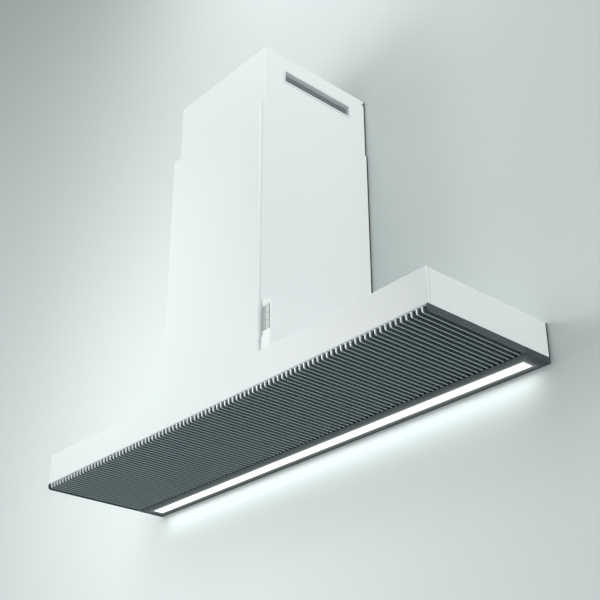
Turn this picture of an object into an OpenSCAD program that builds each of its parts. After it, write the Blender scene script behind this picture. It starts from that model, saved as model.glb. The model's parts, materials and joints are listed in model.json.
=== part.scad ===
// Wall-mounted chimney range hood: a shallow T-shaped canopy with a drop-down finned grille,
// a light bar along the wall, a telescopic chimney, a blower and a hand-held remote.
// Frame: X along the wall, +Y towards the wall (the wall face is y = 0), +Z up.
// Origin: middle of the wall face, at the height of the canopy shell's lower edge.

/* [Canopy] */
// Width of the canopy along the wall
hood_w = 1200; // [900:10:1500]
// Depth from the wall to the front face
hood_d = 325; // [300:1:400]
// Height of the canopy's white shell
hood_h = 70; // [60:1:110]
// Thickness of every steel sheet
sheet_t = 1; // [0.8:0.1:1.2]
// Depth of the folded edge behind the front tray
front_return = 7; // [5:0.5:10]
// Gap at the seams between painted panels
seam_gap = 0.4; // [0.2:0.1:0.8]
// Width of the side panels' lower flange
lower_flange_w = 6; // [4:0.5:6]
// Width of the side panels' upper flange
upper_flange_w = 10; // [8:0.5:14]
// How far the grille and the light bar hang below the shell
under_drop = 13; // [12:0.5:18]
// Gap that keeps the side sheets' rear edges off the wall
wall_gap = 3; // [1.5:0.1:4]

/* [Chimney] */
// Width of the fixed lower chimney
chimney_w = 317; // [305:1:380]
// Height of the lower chimney's top edge above the canopy's lower edge
chimney_top = 675.5; // [600:0.5:800]
// Side gap between the lower chimney's sheet and the upper one
chimney_slide_gap = 2.4; // [1.8:0.1:4]
// How far the upper chimney's front stands behind the lower one's
upper_inset = 14.5; // [12:0.5:16]
// Length of the sliding upper chimney
upper_len = 420; // [400:5:500]
// Height of the upper chimney's top edge above the canopy's lower edge
upper_top = 834; // [800:1:900]

/* [Vent slots] */
// Length of the open slot
vent_len = 198; // [120:1:220]
// Height of the open slot
vent_h = 28; // [20:1:36]
// Distance from the wall to the slot's near end
vent_from_wall = 53; // [40:1:60]
// Height of the slot's centre below the chimney's top edge
vent_below_top = 53; // [40:1:70]
// Depth from the chimney's side to the slats
vent_recess = 8; // [6:1:16]
// Width of the rim that covers the slot's edge
vent_rim_w = 4; // [3:0.5:6]
// Height of the rim above the chimney's side
vent_rim_t = 0.8; // [0.5:0.1:1.2]
// Wall of the insert
vent_wall = 1.5; // [1:0.1:2]
// Number of slats
slat_count = 4; // [3:1:5]
// Play round the insert in its cut-out
vent_play = 0.3; // [0.2:0.05:0.5]

/* [Ceiling bracket] */
// Height of the bracket plate
bracket_h = 32; // [28:1:40]
// Thickness of the bracket plate
bracket_t = 1.5; // [1.2:0.1:2]
// Depth of the bracket's ears
bracket_ear = 20; // [14:1:30]
// Distance between the bracket's two wall holes
bracket_hole_gap = 200; // [120:5:240]
// Radius of the bracket's wall holes
bracket_hole_r = 3; // [2.5:0.25:4]
// Distance from the sheets' rear edges to the chimney screws
side_screw_inset = 3.3; // [3.2:0.1:6]
// Distance from the chimney's top edge to the chimney screws
side_screw_drop = 10.2; // [8:0.1:14]
// Radius of the chimney screws' heads
side_screw_head_r = 3; // [2.5:0.25:3.5]
// Height of the chimney screws' heads
side_screw_head_h = 1.4; // [1:0.1:1.6]

/* [Back plate] */
// Width of the tower that carries the hood on the wall
tower_w = 240; // [200:5:270]
// Height of the tower's top edge
tower_top = 360; // [330:5:400]
// Distance between wall holes along the wall
wall_hole_x = 200; // [160:5:230]
// Distance between wall holes up the wall
wall_hole_z = 240; // [180:5:250]
// Height of the lower wall holes
wall_hole_low = 95; // [85:1:110]
// Radius of the wall holes
wall_hole_r = 4; // [3:0.5:5]

/* [Light bar] */
// Depth of the light bar from the wall
bar_d = 70; // [60:1:80]
// Length of the lit strip
light_len = 1146; // [600:1:1150]
// Width of the lit strip
light_w = 27; // [20:1:32]
// Distance from the wall to the lit strip
light_from_wall = 18.5; // [16:0.5:26]
// Thickness of the opal cover
diffuser_t = 2; // [1.5:0.1:3]
// Wall of the aluminium profile
profile_t = 1.2; // [1:0.1:1.5]
// Depth of the aluminium profile
profile_h = 9; // [8:0.5:10]
// Width of the light board
led_board_w = 12; // [8:1:18]

/* [Grille] */
// Number of fins
fin_count = 99; // [60:1:110]
// Thickness of a fin
fin_t = 3.5; // [2:0.1:4.5]
// Radius of a fin's front lower corner
fin_front_r = 7; // [4:0.5:10]
// Radius of a fin's rear lower corner
fin_rear_r = 2.5; // [1:0.25:3]
// Gap between the shell's lower edge and the fins
fin_top_gap = 0.6; // [0.4:0.1:1]
// Gap between the fins and the light bar
fin_rear_gap = 1; // [1:0.1:3]
// Height of the rails that carry the fins
rail_h = 6; // [4:0.5:8]
// Width of the rails that carry the fins
rail_w = 10; // [8:0.5:12]
// Distance from the front face to the front rail
rail_setback = 13; // [12.5:0.5:15]
// Clearance under the shell of the fins' upper rear corner as it swings
swing_gap = 0.17; // [0.1:0.01:0.3]
// Height of the hinge axis above the fins' lower edge
hinge_up = 3.5; // [3:0.1:4]
// Radius of the hinge pins
hinge_pin_r = 1.5; // [1.25:0.05:1.75]
// Running clearance of the hinge pins, on radius
hinge_play = 0.05; // [0.02:0.01:0.1]
// Thickness of the hinge brackets
hinge_bracket_t = 3; // [2:0.25:4]
// Distance from the front face to the screw in each side plate
side_plate_screw_y = 45; // [20:1:120]

/* [Grease filters] */
// Number of filter cassettes
filter_count = 3; // [3:1:3]
// Thickness of a cassette
filter_t = 9; // [8:0.5:12]
// Width of a cassette's frame bars
filter_bar_w = 12; // [10:0.5:16]
// Gap between cassettes
filter_gap = 1.5; // [1:0.25:3]
// Play round the mesh inside its frame
mesh_play = 0.2; // [0.1:0.05:0.4]

/* [Blower] */
// Width of the blower box
box_w = 280; // [270:1:284]
// Depth of the blower box
box_d = 280; // [276:1:285]
// Distance from the wall to the blower box
box_from_wall = 20; // [16:1:22]
// Height of the blower box's top
box_top = 390; // [380:1:420]
// Width of the flange round the foot of the blower box
box_flange = 7; // [6:0.5:7]
// Width of the scroll housing
scroll_w = 200; // [180:1:206]
// Smallest radius of the scroll, at the tongue
scroll_r_min = 80; // [80:0.5:84]
// Largest radius of the scroll, at the outlet
scroll_r_max = 115; // [112:0.5:118]
// Wall of the scroll housing
scroll_t = 1.5; // [1.2:0.1:2]
// Radius of the scroll's two inlets
inlet_r = 62; // [60:0.5:64]
// Height of the fan axis
fan_z = 235; // [232:1:250]
// Outer radius of the fan wheel
wheel_r = 72; // [70:0.5:73]
// Width of the fan wheel
wheel_w = 176; // [150:1:176]
// Number of blades
blade_count = 40; // [24:1:48]
// Radial depth of the blades
blade_d = 13; // [10:0.5:14]
// Thickness of the blades
blade_t = 1; // [0.8:0.1:1.4]
// Radius of the motor
motor_r = 45; // [36:0.5:48]
// Radius of the fan shaft
shaft_r = 4; // [3:0.5:5]
// Running clearance of the shaft in the motor, on radius
shaft_play = 0.05; // [0.02:0.01:0.1]

/* [Outlet] */
// Outer radius of the duct collar
collar_r = 75; // [60:0.5:75]
// Height of the duct collar
collar_h = 60; // [50:1:70]
// Wall of the duct collar
collar_t = 1.5; // [1.2:0.1:2]
// Radius of the flap pins
flap_pin_r = 1.5; // [1:0.25:2]
// Running clearance of the flap pins, on radius
flap_play = 0.05; // [0.02:0.01:0.1]
// Height of the flaps above the collar's foot
flap_up = 10; // [8:1:16]
// Radius of the cable inlet's bore
inlet_bore_r = 4.5; // [3.5:0.25:5]

/* [Remote] */
// Width of the handset
hs_w = 24.4; // [23:0.1:30]
// Height of the handset
hs_h = 111; // [104:1:130]
// Thickness of the handset
hs_t = 8; // [7:0.1:10]
// Radius of the handset's corners
hs_corner_r = 4; // [2:0.5:5]
// Wall of the handset's shells
hs_wall = 1.2; // [1:0.1:1.5]
// Height of the holder above the canopy
holder_h = 32; // [20:1:36]
// Wall of the holder
holder_wall = 1.2; // [1:0.1:1.6]
// Play round the handset in its holder
holder_play = 0.3; // [0.2:0.05:0.5]
// Distance from the front face to the handset's face
hs_setback = 9; // [8.9:0.1:12]
// Height of a key
key_h = 15.5; // [12:0.1:16]
// Distance between key rows
key_pitch = 18; // [17:0.1:20]
// Play round each key
key_play = 0.3; // [0.2:0.05:0.4]
// Travel of a key
key_travel = 0.8; // [0.5:0.1:0.9]

/* [Hidden] */
$fn = 48;

// Small amount by which cutting shapes run past what they cut
eps = 0.5;

// Canopy
half_w = hood_w / 2;
front_y = -hood_d;
panel_y = front_y + front_return + seam_gap;
inner_half_w = half_w - sheet_t;
bar_y = -bar_d;
under_z = -under_drop;
screw_r = 2;
screw_head_r = 4;
screw_head_h = 2;
screw_len = 6;
socket_r = 1.8;
socket_d = 1.2;
hole_play = 0.15;
panel_screw_ys = [-0.85 * hood_d, -0.5 * hood_d, -0.15 * hood_d];

// Chimney
chimney_half = chimney_w / 2;
upper_half = chimney_half - sheet_t - chimney_slide_gap;
upper_front_y = front_y + upper_inset;
upper_inner_half = upper_half - sheet_t;
upper_bottom = upper_top - upper_len;
vent_y = -vent_from_wall - vent_len / 2;
vent_z = upper_top - vent_below_top;
vent_corner_r = 5;
slat_t = 1.2;
slat_d = 5;
slat_tilt = -35;
side_screw_y = wall_gap + side_screw_inset;
side_screw_z = upper_top - side_screw_drop;
side_socket_r = 1.4;
side_socket_d = 0.8;
bracket_drop = 2;

// Light bar
light_y = -light_from_wall - light_w / 2;
profile_w = light_w + 2 * profile_t;
cap_t = 2;
light_play = 0.2;
led_board_t = 1.6;
bar_rear_y = -sheet_t - 0.2;
profile_top = under_z + sheet_t + profile_h;

// Grille
fin_pitch = (hood_w - fin_t) / (fin_count - 1);
fin_top = -fin_top_gap;
fin_rear_y = bar_y - fin_rear_gap;
hinge_z = under_z + hinge_up;
// The hinge axis lies so far ahead that the fins' upper rear corner swings just under the shell
hinge_y = fin_rear_y - sqrt(pow(hinge_z + swing_gap, 2) - pow(fin_top - hinge_z, 2));
rail_top = fin_top + rail_h;
rail_half_w = inner_half_w - lower_flange_w - 2;
rail_from_rear = 2;
front_rail_y = front_y + rail_setback;
rear_rail_y = fin_rear_y - rail_from_rear - rail_w;
weld_gap = 0.2;
hinge_x = half_w - fin_t - (fin_pitch - fin_t) / 2;
pin_seat = 2;
hinge_eye_r = 3.2;
side_plate_screw_z = -4.5;
side_plate_screw_r = 1.9;
side_plate_shank_r = 1.1;
side_plate_sink = 1;
side_plate_play = 0.1;
catch_x = hood_w * 0.34;
catch_w = 30;
catch_h = 10;

// Grease filters
filter_span = 2 * (rail_half_w - 2);
filter_w = (filter_span - (filter_count - 1) * filter_gap) / filter_count;
filter_front_y = front_rail_y + 1;
filter_rear_y = rear_rail_y + rail_w - 3;
filter_wall = 1;

// Blower
box_front_y = -box_from_wall - box_d;
outlet_d = 2 * collar_r + 4;
scroll_from_front = 50;
fan_y = box_front_y + scroll_from_front + scroll_r_max;
outlet_y = fan_y - scroll_r_max + outlet_d / 2;
// Angle at which the scroll's tongue meets the rear wall of the outlet neck
tongue_a = acos((outlet_d - scroll_r_max) / scroll_r_min);
scroll_steps = 24;
scroll_half = scroll_w / 2;
box_inner_top = box_top - sheet_t;
hub_x = 20;
hub_r = 12;
hub_w = 14;
wheel_plate_t = 2;
motor_len = 90;
motor_end = hub_x - 10;
motor_start = motor_end - motor_len;
motor_boss_r = 16;
motor_bore_start = 18;
shaft_start = 20;
spider_t = 3;
spider_hub_r = 20;
spider_arm_w = 12;
spider_reach = inlet_r + 8;
intake_margin = 10;
blower_screw_r = 1.5;
blower_screw_head_r = 3;
blower_screw_head_h = 2;
blower_screw_len = 4;
blower_screw_inset = 40;

// Outlet
collar_inner_r = collar_r - collar_t;
flap_z = box_top + flap_up;
flap_x = 4;
flap_t = 1;
flap_r = collar_inner_r - 1.5;
flap_eye_r = 3;
flap_eye_inset = 4;
flap_pin_seat = 0.9;
ledge_t = 2;
ledge_gap = 0.2;
ledge_w = 3.5;
ledge_break = 12;
collar_ear = 10;
collar_lip = 6;
gland_r = 10;
gland_h = 25;
gland_foot = 10;
gland_step = 2;
gland_x = (box_w / 2 + scroll_half) / 2;
gland_y = -box_from_wall - 40;

// Electronics
ctrl_x = hood_w / 4;
ctrl_w = 140;
ctrl_d = 60;
ctrl_z = 20;
ctrl_h = 38;
ctrl_wall = 2;
board_play = 1;
board_from_front = 8;
board_t = 1.6;
cap_from_side = 30;
cap_len = 50;
cap_r = 12;
cap_from_rear = 14;
driver_x = -0.35 * hood_w;
driver_w = 160;
driver_d = 30;
driver_h = 25;
driver_foot_t = 3;
driver_foot_w = 10;

// Remote
hs_left = chimney_half + holder_wall + holder_play + 2;
hs_x = hs_left + hs_w / 2;
hs_front_y = front_y + hs_setback;
hs_back_y = hs_front_y + hs_t;
holder_floor = 2;
hs_z = hood_h + holder_floor;
hs_split_y = hs_front_y + hs_t / 2;
hs_seam = 0.2;
key_low_z = hs_z + holder_h + 11;
key_xs = [hs_left + 1.7, hs_left + 6.6];
key_ws = [3.2, 4.2];
key_t = 1.4;
key_proud = 0.2;
window_x = [hs_left + 1.2 + 0.2, hs_left + hs_w - 1];
window_z = [key_low_z - 1.5, key_low_z + 2 * key_pitch + key_h + 1.5];
guide_right_x = window_x[1] - 2;
guide_sink = 0.6;
guide_play = 0.3;
key_stop_gap = 0.8;
key_room = key_t + key_travel + key_stop_gap;
hs_board_y = hs_front_y - key_proud + key_room + 0.2;
hs_board_t = 1;
hs_board_side = 2;
hs_board_end = 6;

// ---------- shared shapes ----------

module block(lo, hi) translate(lo) cube(hi - lo);

// A drawing in (y, z), drawn along +X from x
module along_x(x, len) translate([x, 0, 0]) rotate([90, 0, 90]) linear_extrude(len) children();

// A drawing in (x, z), drawn along +Y from y
module along_y(y, len) translate([0, y + len, 0]) rotate([90, 0, 0]) linear_extrude(len) children();

module rod_x(x, len, y, z, r) translate([x, y, z]) rotate([0, 90, 0]) cylinder(h = len, r = r);

module rod_y(x, y, len, z, r) translate([x, y, z]) rotate([-90, 0, 0]) cylinder(h = len, r = r);

module rod_z(x, y, z, h, r) translate([x, y, z]) cylinder(h = h, r = r);

// Rectangle centred on the origin with true round corners
module round_rect(w, h, r) {
    square([w - 2 * r, h], center = true);
    square([w, h - 2 * r], center = true);
    for (sx = [-1, 1], sy = [-1, 1])
        translate([sx * (w / 2 - r), sy * (h / 2 - r)]) circle(r = r);
}

// Screw with its head above z and its shank below, with a six-sided socket
module screw_down(x, y, z) {
    difference() {
        union() {
            rod_z(x, y, z, screw_head_h, screw_head_r);
            rod_z(x, y, z - screw_len, screw_len, screw_r);
        }
        translate([x, y, z + screw_head_h - socket_d])
            cylinder(h = socket_d + eps, r = socket_r, $fn = 6);
    }
}

// ---------- canopy and chimney ----------

module front_panel() color("white") {
    along_y(front_y, sheet_t) {
        translate([-half_w, 0]) square([hood_w, hood_h]);
        translate([-chimney_half, 0]) square([chimney_w, chimney_top]);
    }
    for (side = [-1, 1]) mirror([side < 0 ? 1 : 0, 0, 0]) {
        block([half_w - sheet_t, front_y, 0], [half_w, front_y + front_return, hood_h]);
        block([chimney_half - sheet_t, front_y, hood_h - sheet_t],
            [half_w, front_y + front_return, hood_h]);
        block([chimney_half - sheet_t, front_y, hood_h - sheet_t],
            [chimney_half, front_y + front_return, chimney_top]);
    }
    block([-half_w, front_y, 0], [half_w, front_y + front_return, sheet_t]);
    block([-chimney_half, front_y, chimney_top - sheet_t],
        [chimney_half, front_y + front_return, chimney_top]);
}

module canopy_side_right() color("white") difference() {
    union() {
        block([inner_half_w, panel_y, 0], [half_w, -wall_gap, hood_h]);
        block([inner_half_w - lower_flange_w, panel_y, 0], [half_w, -wall_gap, sheet_t]);
        block([inner_half_w - upper_flange_w, panel_y, hood_h - 2 * sheet_t],
            [half_w, -wall_gap, hood_h - sheet_t]);
    }
    panel_screw_holes();
}

module canopy_side_left() color("white") mirror([1, 0, 0]) canopy_side_right();

module panel_screw_holes()
    for (side = [-1, 1], y = panel_screw_ys)
        rod_z(side * (inner_half_w - upper_flange_w / 2), y, hood_h - 2 * sheet_t - eps,
            2 * sheet_t + 2 * eps, screw_r + hole_play);

module panel_screws() color("silver")
    for (side = [-1, 1], y = panel_screw_ys)
        screw_down(side * (inner_half_w - upper_flange_w / 2), y, hood_h);

module canopy_top() color("white") difference() {
    block([-inner_half_w + seam_gap, panel_y, hood_h - sheet_t],
        [inner_half_w - seam_gap, -sheet_t, hood_h]);
    block([-box_w / 2 + intake_margin, box_front_y + intake_margin, hood_h - sheet_t - eps],
        [box_w / 2 - intake_margin, -box_from_wall - intake_margin, hood_h + eps]);
    panel_screw_holes();
    blower_screw_holes();
}

module back_plate() color("lightgray") difference() {
    union() {
        block([-inner_half_w + seam_gap, -sheet_t, under_z + sheet_t / 2],
            [inner_half_w - seam_gap, 0, hood_h]);
        block([-tower_w / 2, -sheet_t, 0], [tower_w / 2, 0, tower_top]);
    }
    for (side = [-1, 1], z = [wall_hole_low, wall_hole_low + wall_hole_z])
        rod_y(side * wall_hole_x / 2, -sheet_t - eps, sheet_t + 2 * eps, z, wall_hole_r);
}

module chimney_side_right() color("white") {
    block([chimney_half - sheet_t, panel_y, hood_h], [chimney_half, -wall_gap, chimney_top]);
    block([chimney_half - sheet_t - box_flange, panel_y, hood_h],
        [chimney_half, panel_y + sheet_t, upper_bottom / 2]);
}

module chimney_side_left() color("white") mirror([1, 0, 0]) chimney_side_right();

module upper_chimney() color("white") difference() {
    union() {
        block([-upper_half, upper_front_y, upper_bottom],
            [upper_half, upper_front_y + sheet_t, upper_top]);
        for (side = [-1, 1]) mirror([side < 0 ? 1 : 0, 0, 0])
            block([upper_inner_half, upper_front_y, upper_bottom], [upper_half, -wall_gap, upper_top]);
    }
    for (side = [-1, 1]) mirror([side < 0 ? 1 : 0, 0, 0]) {
        along_x(upper_inner_half - eps, sheet_t + 2 * eps) translate([vent_y, vent_z])
            round_rect(vent_len + 2 * (vent_wall + vent_play), vent_h + 2 * (vent_wall + vent_play),
                vent_corner_r);
        rod_x(upper_inner_half - eps, sheet_t + 2 * eps, -side_screw_y, side_screw_z,
            screw_r + hole_play);
    }
}

module vent_grille_right() color("gainsboro") {
    difference() {
        union() {
            along_x(upper_half, vent_rim_t) translate([vent_y, vent_z])
                round_rect(vent_len + 2 * vent_rim_w, vent_h + 2 * vent_rim_w,
                    vent_corner_r + vent_rim_w / 2);
            along_x(upper_half - vent_recess - slat_d, vent_recess + slat_d)
                translate([vent_y, vent_z])
                round_rect(vent_len + 2 * vent_wall, vent_h + 2 * vent_wall, vent_corner_r);
        }
        along_x(upper_half - vent_recess - slat_d - eps,
            vent_recess + slat_d + vent_rim_t + 2 * eps)
            translate([vent_y, vent_z])
            round_rect(vent_len, vent_h, vent_corner_r - vent_wall);
    }
    slat_pitch = vent_h / (slat_count + 1);
    for (i = [1 : slat_count])
        translate([upper_half - vent_recess - slat_d / 2, vent_y, vent_z - vent_h / 2 + i * slat_pitch])
            rotate([0, slat_tilt, 0])
            cube([slat_d, vent_len + vent_wall, slat_t], center = true);
}

module vent_grille_left() color("gainsboro") mirror([1, 0, 0]) vent_grille_right();

module ceiling_bracket() color("silver") {
    bracket_z = upper_top - bracket_drop - bracket_h;
    difference() {
        union() {
            block([-upper_inner_half, -bracket_t, bracket_z],
                [upper_inner_half, 0, bracket_z + bracket_h]);
            for (side = [-1, 1]) mirror([side < 0 ? 1 : 0, 0, 0])
                block([upper_inner_half - bracket_t, -bracket_ear, bracket_z],
                    [upper_inner_half, 0, bracket_z + bracket_h]);
        }
        for (side = [-1, 1]) {
            rod_y(side * bracket_hole_gap / 2, -bracket_t - eps, bracket_t + 2 * eps,
                bracket_z + bracket_h / 2, bracket_hole_r);
            mirror([side < 0 ? 1 : 0, 0, 0])
                rod_x(upper_inner_half - bracket_t - eps, bracket_t + 2 * eps, -side_screw_y,
                    side_screw_z, screw_r);
        }
    }
}

module bracket_screws() color("silver")
    for (side = [-1, 1]) mirror([side < 0 ? 1 : 0, 0, 0]) difference() {
        union() {
            rod_x(upper_half, side_screw_head_h, -side_screw_y, side_screw_z, side_screw_head_r);
            rod_x(upper_half - screw_len, screw_len, -side_screw_y, side_screw_z, screw_r);
        }
        translate([upper_half + side_screw_head_h - side_socket_d, -side_screw_y, side_screw_z])
            rotate([0, 90, 0]) cylinder(h = side_socket_d + eps, r = side_socket_r, $fn = 6);
    }

// ---------- light bar ----------

module light_housing() color("dimgray") difference() {
    block([-half_w, bar_y, under_z], [half_w, bar_rear_y, 0]);
    block([-half_w + sheet_t, bar_y + sheet_t, under_z + sheet_t],
        [half_w - sheet_t, bar_rear_y - sheet_t, eps]);
    block([-light_len / 2, light_y - light_w / 2, under_z - eps],
        [light_len / 2, light_y + light_w / 2, under_z + 2 * sheet_t]);
}

module led_profile() color("silver") difference() {
    block([-light_len / 2 - cap_t, light_y - profile_w / 2, under_z + sheet_t],
        [light_len / 2 + cap_t, light_y + profile_w / 2, profile_top]);
    block([-light_len / 2 - cap_t - eps, light_y - light_w / 2, under_z],
        [light_len / 2 + cap_t + eps, light_y + light_w / 2, profile_top - profile_t]);
}

module led_board() color("ivory")
    block([-light_len / 2 + cap_t, light_y - led_board_w / 2, profile_top - profile_t - led_board_t],
        [light_len / 2 - cap_t, light_y + led_board_w / 2, profile_top - profile_t]);

module led_diffuser() color("white")
    block([-light_len / 2 + light_play, light_y - light_w / 2 + light_play, under_z],
        [light_len / 2 - light_play, light_y + light_w / 2 - light_play, under_z + diffuser_t]);

module led_end_caps() color("gray")
    for (side = [-1, 1]) mirror([side < 0 ? 1 : 0, 0, 0])
        block([light_len / 2 + cap_t, light_y - profile_w / 2, under_z + sheet_t],
            [light_len / 2 + 2 * cap_t, light_y + profile_w / 2, profile_top]);

module led_driver() color("whitesmoke") {
    foot_x = driver_w / 2 + driver_foot_w / 2;
    block([driver_x - driver_w / 2, -sheet_t - driver_d, ctrl_z],
        [driver_x + driver_w / 2, -sheet_t, ctrl_z + driver_h]);
    for (side = [-1, 1]) difference() {
        translate([driver_x + side * foot_x - driver_foot_w / 2, -sheet_t - driver_foot_t, ctrl_z])
            cube([driver_foot_w, driver_foot_t, driver_h]);
        rod_y(driver_x + side * foot_x, -sheet_t - driver_foot_t - eps, driver_foot_t + 2 * eps,
            ctrl_z + driver_h / 2, screw_r);
    }
}

// ---------- drop-down grille ----------

// Side view of a fin in (y, z), with its two lower corners rounded
module fin_outline() intersection() {
    low_y = front_y + fin_front_r;
    high_y = fin_rear_y - fin_rear_r;
    union() {
        translate([low_y, under_z]) square([high_y - low_y, fin_top - under_z]);
        translate([front_y, under_z + fin_front_r]) square([fin_front_r + eps, fin_front_r]);
        translate([high_y - eps, under_z + fin_rear_r]) square([fin_rear_r + eps, under_drop]);
        translate([low_y, under_z + fin_front_r]) circle(r = fin_front_r);
        translate([high_y, under_z + fin_rear_r]) circle(r = fin_rear_r);
    }
    translate([front_y, under_z]) square([fin_rear_y - front_y, fin_top - under_z]);
}

module grille_fins() color("slategray")
    for (i = [1 : fin_count - 2])
        along_x(-half_w + i * fin_pitch, fin_t) fin_outline();

module grille_side_right() color("dimgray") difference() {
    along_x(half_w - fin_t, fin_t) fin_outline();
    rod_x(half_w - fin_t - eps, pin_seat + eps, hinge_y, hinge_z, hinge_pin_r);
    rod_x(half_w - side_plate_sink, side_plate_sink + eps, front_y + side_plate_screw_y,
        side_plate_screw_z, side_plate_screw_r + side_plate_play);
    rod_x(half_w - fin_t - eps, fin_t, front_y + side_plate_screw_y, side_plate_screw_z,
        side_plate_shank_r + side_plate_play);
}

module grille_side_left() color("dimgray") mirror([1, 0, 0]) grille_side_right();

module grille_side_screws() color("silver")
    for (side = [-1, 1]) mirror([side < 0 ? 1 : 0, 0, 0]) {
        head_x = half_w - side_plate_sink + side_plate_play;
        rod_x(head_x, side_plate_sink - 2 * side_plate_play, front_y + side_plate_screw_y,
            side_plate_screw_z, side_plate_screw_r);
        rod_x(half_w - fin_t, head_x - half_w + fin_t, front_y + side_plate_screw_y,
            side_plate_screw_z, side_plate_shank_r);
    }

// Two long rails and the cross bars between them, one at each edge of every cassette
module grille_rails() color("darkslategray") {
    for (y = [front_rail_y, rear_rail_y])
        block([-rail_half_w, y, fin_top], [rail_half_w, y + rail_w, rail_top]);
    bar_step = (2 * rail_half_w - rail_w) / filter_count;
    for (i = [0 : filter_count])
        block([-rail_half_w + i * bar_step, front_rail_y + rail_w + weld_gap, fin_top],
            [-rail_half_w + i * bar_step + rail_w, rear_rail_y - weld_gap, rail_top]);
}

module grille_hinge_pins() color("silver")
    for (side = [-1, 1]) mirror([side < 0 ? 1 : 0, 0, 0])
        rod_x(hinge_x - hinge_bracket_t / 2 - 1, half_w - fin_t + pin_seat - hinge_x
            + hinge_bracket_t / 2 + 1, hinge_y, hinge_z, hinge_pin_r);

module hinge_brackets() color("gray")
    for (side = [-1, 1]) mirror([side < 0 ? 1 : 0, 0, 0]) difference() {
        union() {
            block([hinge_x - hinge_bracket_t / 2, hinge_y, hinge_z - hinge_eye_r],
                [hinge_x + hinge_bracket_t / 2, bar_y, hinge_z + hinge_eye_r]);
            rod_x(hinge_x - hinge_bracket_t / 2, hinge_bracket_t, hinge_y, hinge_z, hinge_eye_r);
        }
        rod_x(hinge_x - hinge_bracket_t / 2 - eps, hinge_bracket_t + 2 * eps, hinge_y, hinge_z,
            hinge_pin_r + hinge_play);
    }

module grille_catches() color("gray")
    for (side = [-1, 1])
        block([side * catch_x - catch_w / 2, front_y + sheet_t, sheet_t],
            [side * catch_x + catch_w / 2, front_rail_y - 1, sheet_t + catch_h]);

// ---------- grease filters ----------

function filter_left_x(i) = -filter_span / 2 + i * (filter_w + filter_gap);

// Cassette frame: four grooved bars round the mesh
module filter_frame(i) {
    x0 = filter_left_x(i);
    x1 = x0 + filter_w;
    difference() {
        union() {
            for (y = [filter_front_y, filter_rear_y - filter_bar_w])
                block([x0, y, rail_top], [x1, y + filter_bar_w, rail_top + filter_t]);
            for (x = [x0, x1 - filter_bar_w])
                block([x, filter_front_y + filter_bar_w + weld_gap, rail_top],
                    [x + filter_bar_w, filter_rear_y - filter_bar_w - weld_gap, rail_top + filter_t]);
        }
        block([x0 + filter_wall, filter_front_y + filter_wall, rail_top + filter_wall],
            [x1 - filter_wall, filter_rear_y - filter_wall, rail_top + filter_t - filter_wall]);
    }
}

module filter_mesh(i) {
    x0 = filter_left_x(i);
    inset = filter_wall + mesh_play;
    block([x0 + inset, filter_front_y + inset, rail_top + inset],
        [x0 + filter_w - inset, filter_rear_y - inset, rail_top + filter_t - inset]);
}

module filter_frame_left() color("silver") filter_frame(0);
module filter_frame_middle() color("silver") filter_frame(1);
module filter_frame_right() color("silver") filter_frame(2);
module filter_mesh_left() color("lightgray") filter_mesh(0);
module filter_mesh_middle() color("lightgray") filter_mesh(1);
module filter_mesh_right() color("lightgray") filter_mesh(2);

// ---------- blower ----------

module blower_screw_spots()
    for (sx = [-1, 1], y = [box_front_y + blower_screw_inset, -box_from_wall - blower_screw_inset])
        translate([sx * (box_w / 2 + box_flange / 2), y, 0]) children();

module blower_screw_holes() blower_screw_spots()
    translate([0, 0, hood_h - sheet_t - eps])
        cylinder(h = 2 * sheet_t + 2 * eps, r = blower_screw_r + hole_play);

module blower_screws() color("silver") blower_screw_spots() {
    translate([0, 0, hood_h + sheet_t]) cylinder(h = blower_screw_head_h, r = blower_screw_head_r);
    translate([0, 0, hood_h - blower_screw_len])
        cylinder(h = blower_screw_len + sheet_t, r = blower_screw_r);
}

module blower_box() color("silver") difference() {
    union() {
        block([-box_w / 2, box_front_y, hood_h], [box_w / 2, -box_from_wall, box_top]);
        block([-box_w / 2 - box_flange, box_front_y, hood_h],
            [box_w / 2 + box_flange, -box_from_wall, hood_h + sheet_t]);
    }
    block([-box_w / 2 + sheet_t, box_front_y + sheet_t, hood_h - eps],
        [box_w / 2 - sheet_t, -box_from_wall - sheet_t, box_inner_top]);
    rod_z(0, outlet_y, box_inner_top - eps, sheet_t + 2 * eps, collar_inner_r);
    rod_z(gland_x, gland_y, box_inner_top - eps, sheet_t + 2 * eps, gland_r - gland_step);
    blower_screw_holes();
}

function scroll_r(a) =
    scroll_r_min + (scroll_r_max - scroll_r_min) * (tongue_a - a) / (tongue_a + 180);

// Scroll outline in (y, z): a growing spiral that runs into the upright outlet neck
module scroll_outline(inset) {
    polygon([for (i = [0 : scroll_steps])
        let (a = tongue_a - i * (tongue_a + 180) / scroll_steps, r = scroll_r(a) - inset)
            [fan_y + r * cos(a), fan_z + r * sin(a)]]);
    translate([outlet_y - outlet_d / 2 + inset, fan_z])
        square([outlet_d - 2 * inset, box_inner_top - fan_z + (inset > 0 ? eps : 0)]);
}

module scroll_right() color("lightgray") difference() {
    along_x(0.1, scroll_half - 0.1) scroll_outline(0);
    along_x(-eps, scroll_half - scroll_t + eps) scroll_outline(scroll_t);
    rod_x(scroll_half - scroll_t - eps, scroll_t + 2 * eps, fan_y, fan_z, inlet_r);
}

module scroll_left() color("lightgray") mirror([1, 0, 0]) scroll_right();

module motor() color("dimgray") difference() {
    union() {
        rod_x(motor_start, motor_len, fan_y, fan_z, motor_r);
        rod_x(-scroll_half, motor_start + scroll_half, fan_y, fan_z, motor_boss_r);
    }
    rod_x(motor_start + motor_bore_start, motor_len, fan_y, fan_z, shaft_r + shaft_play);
}

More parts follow.
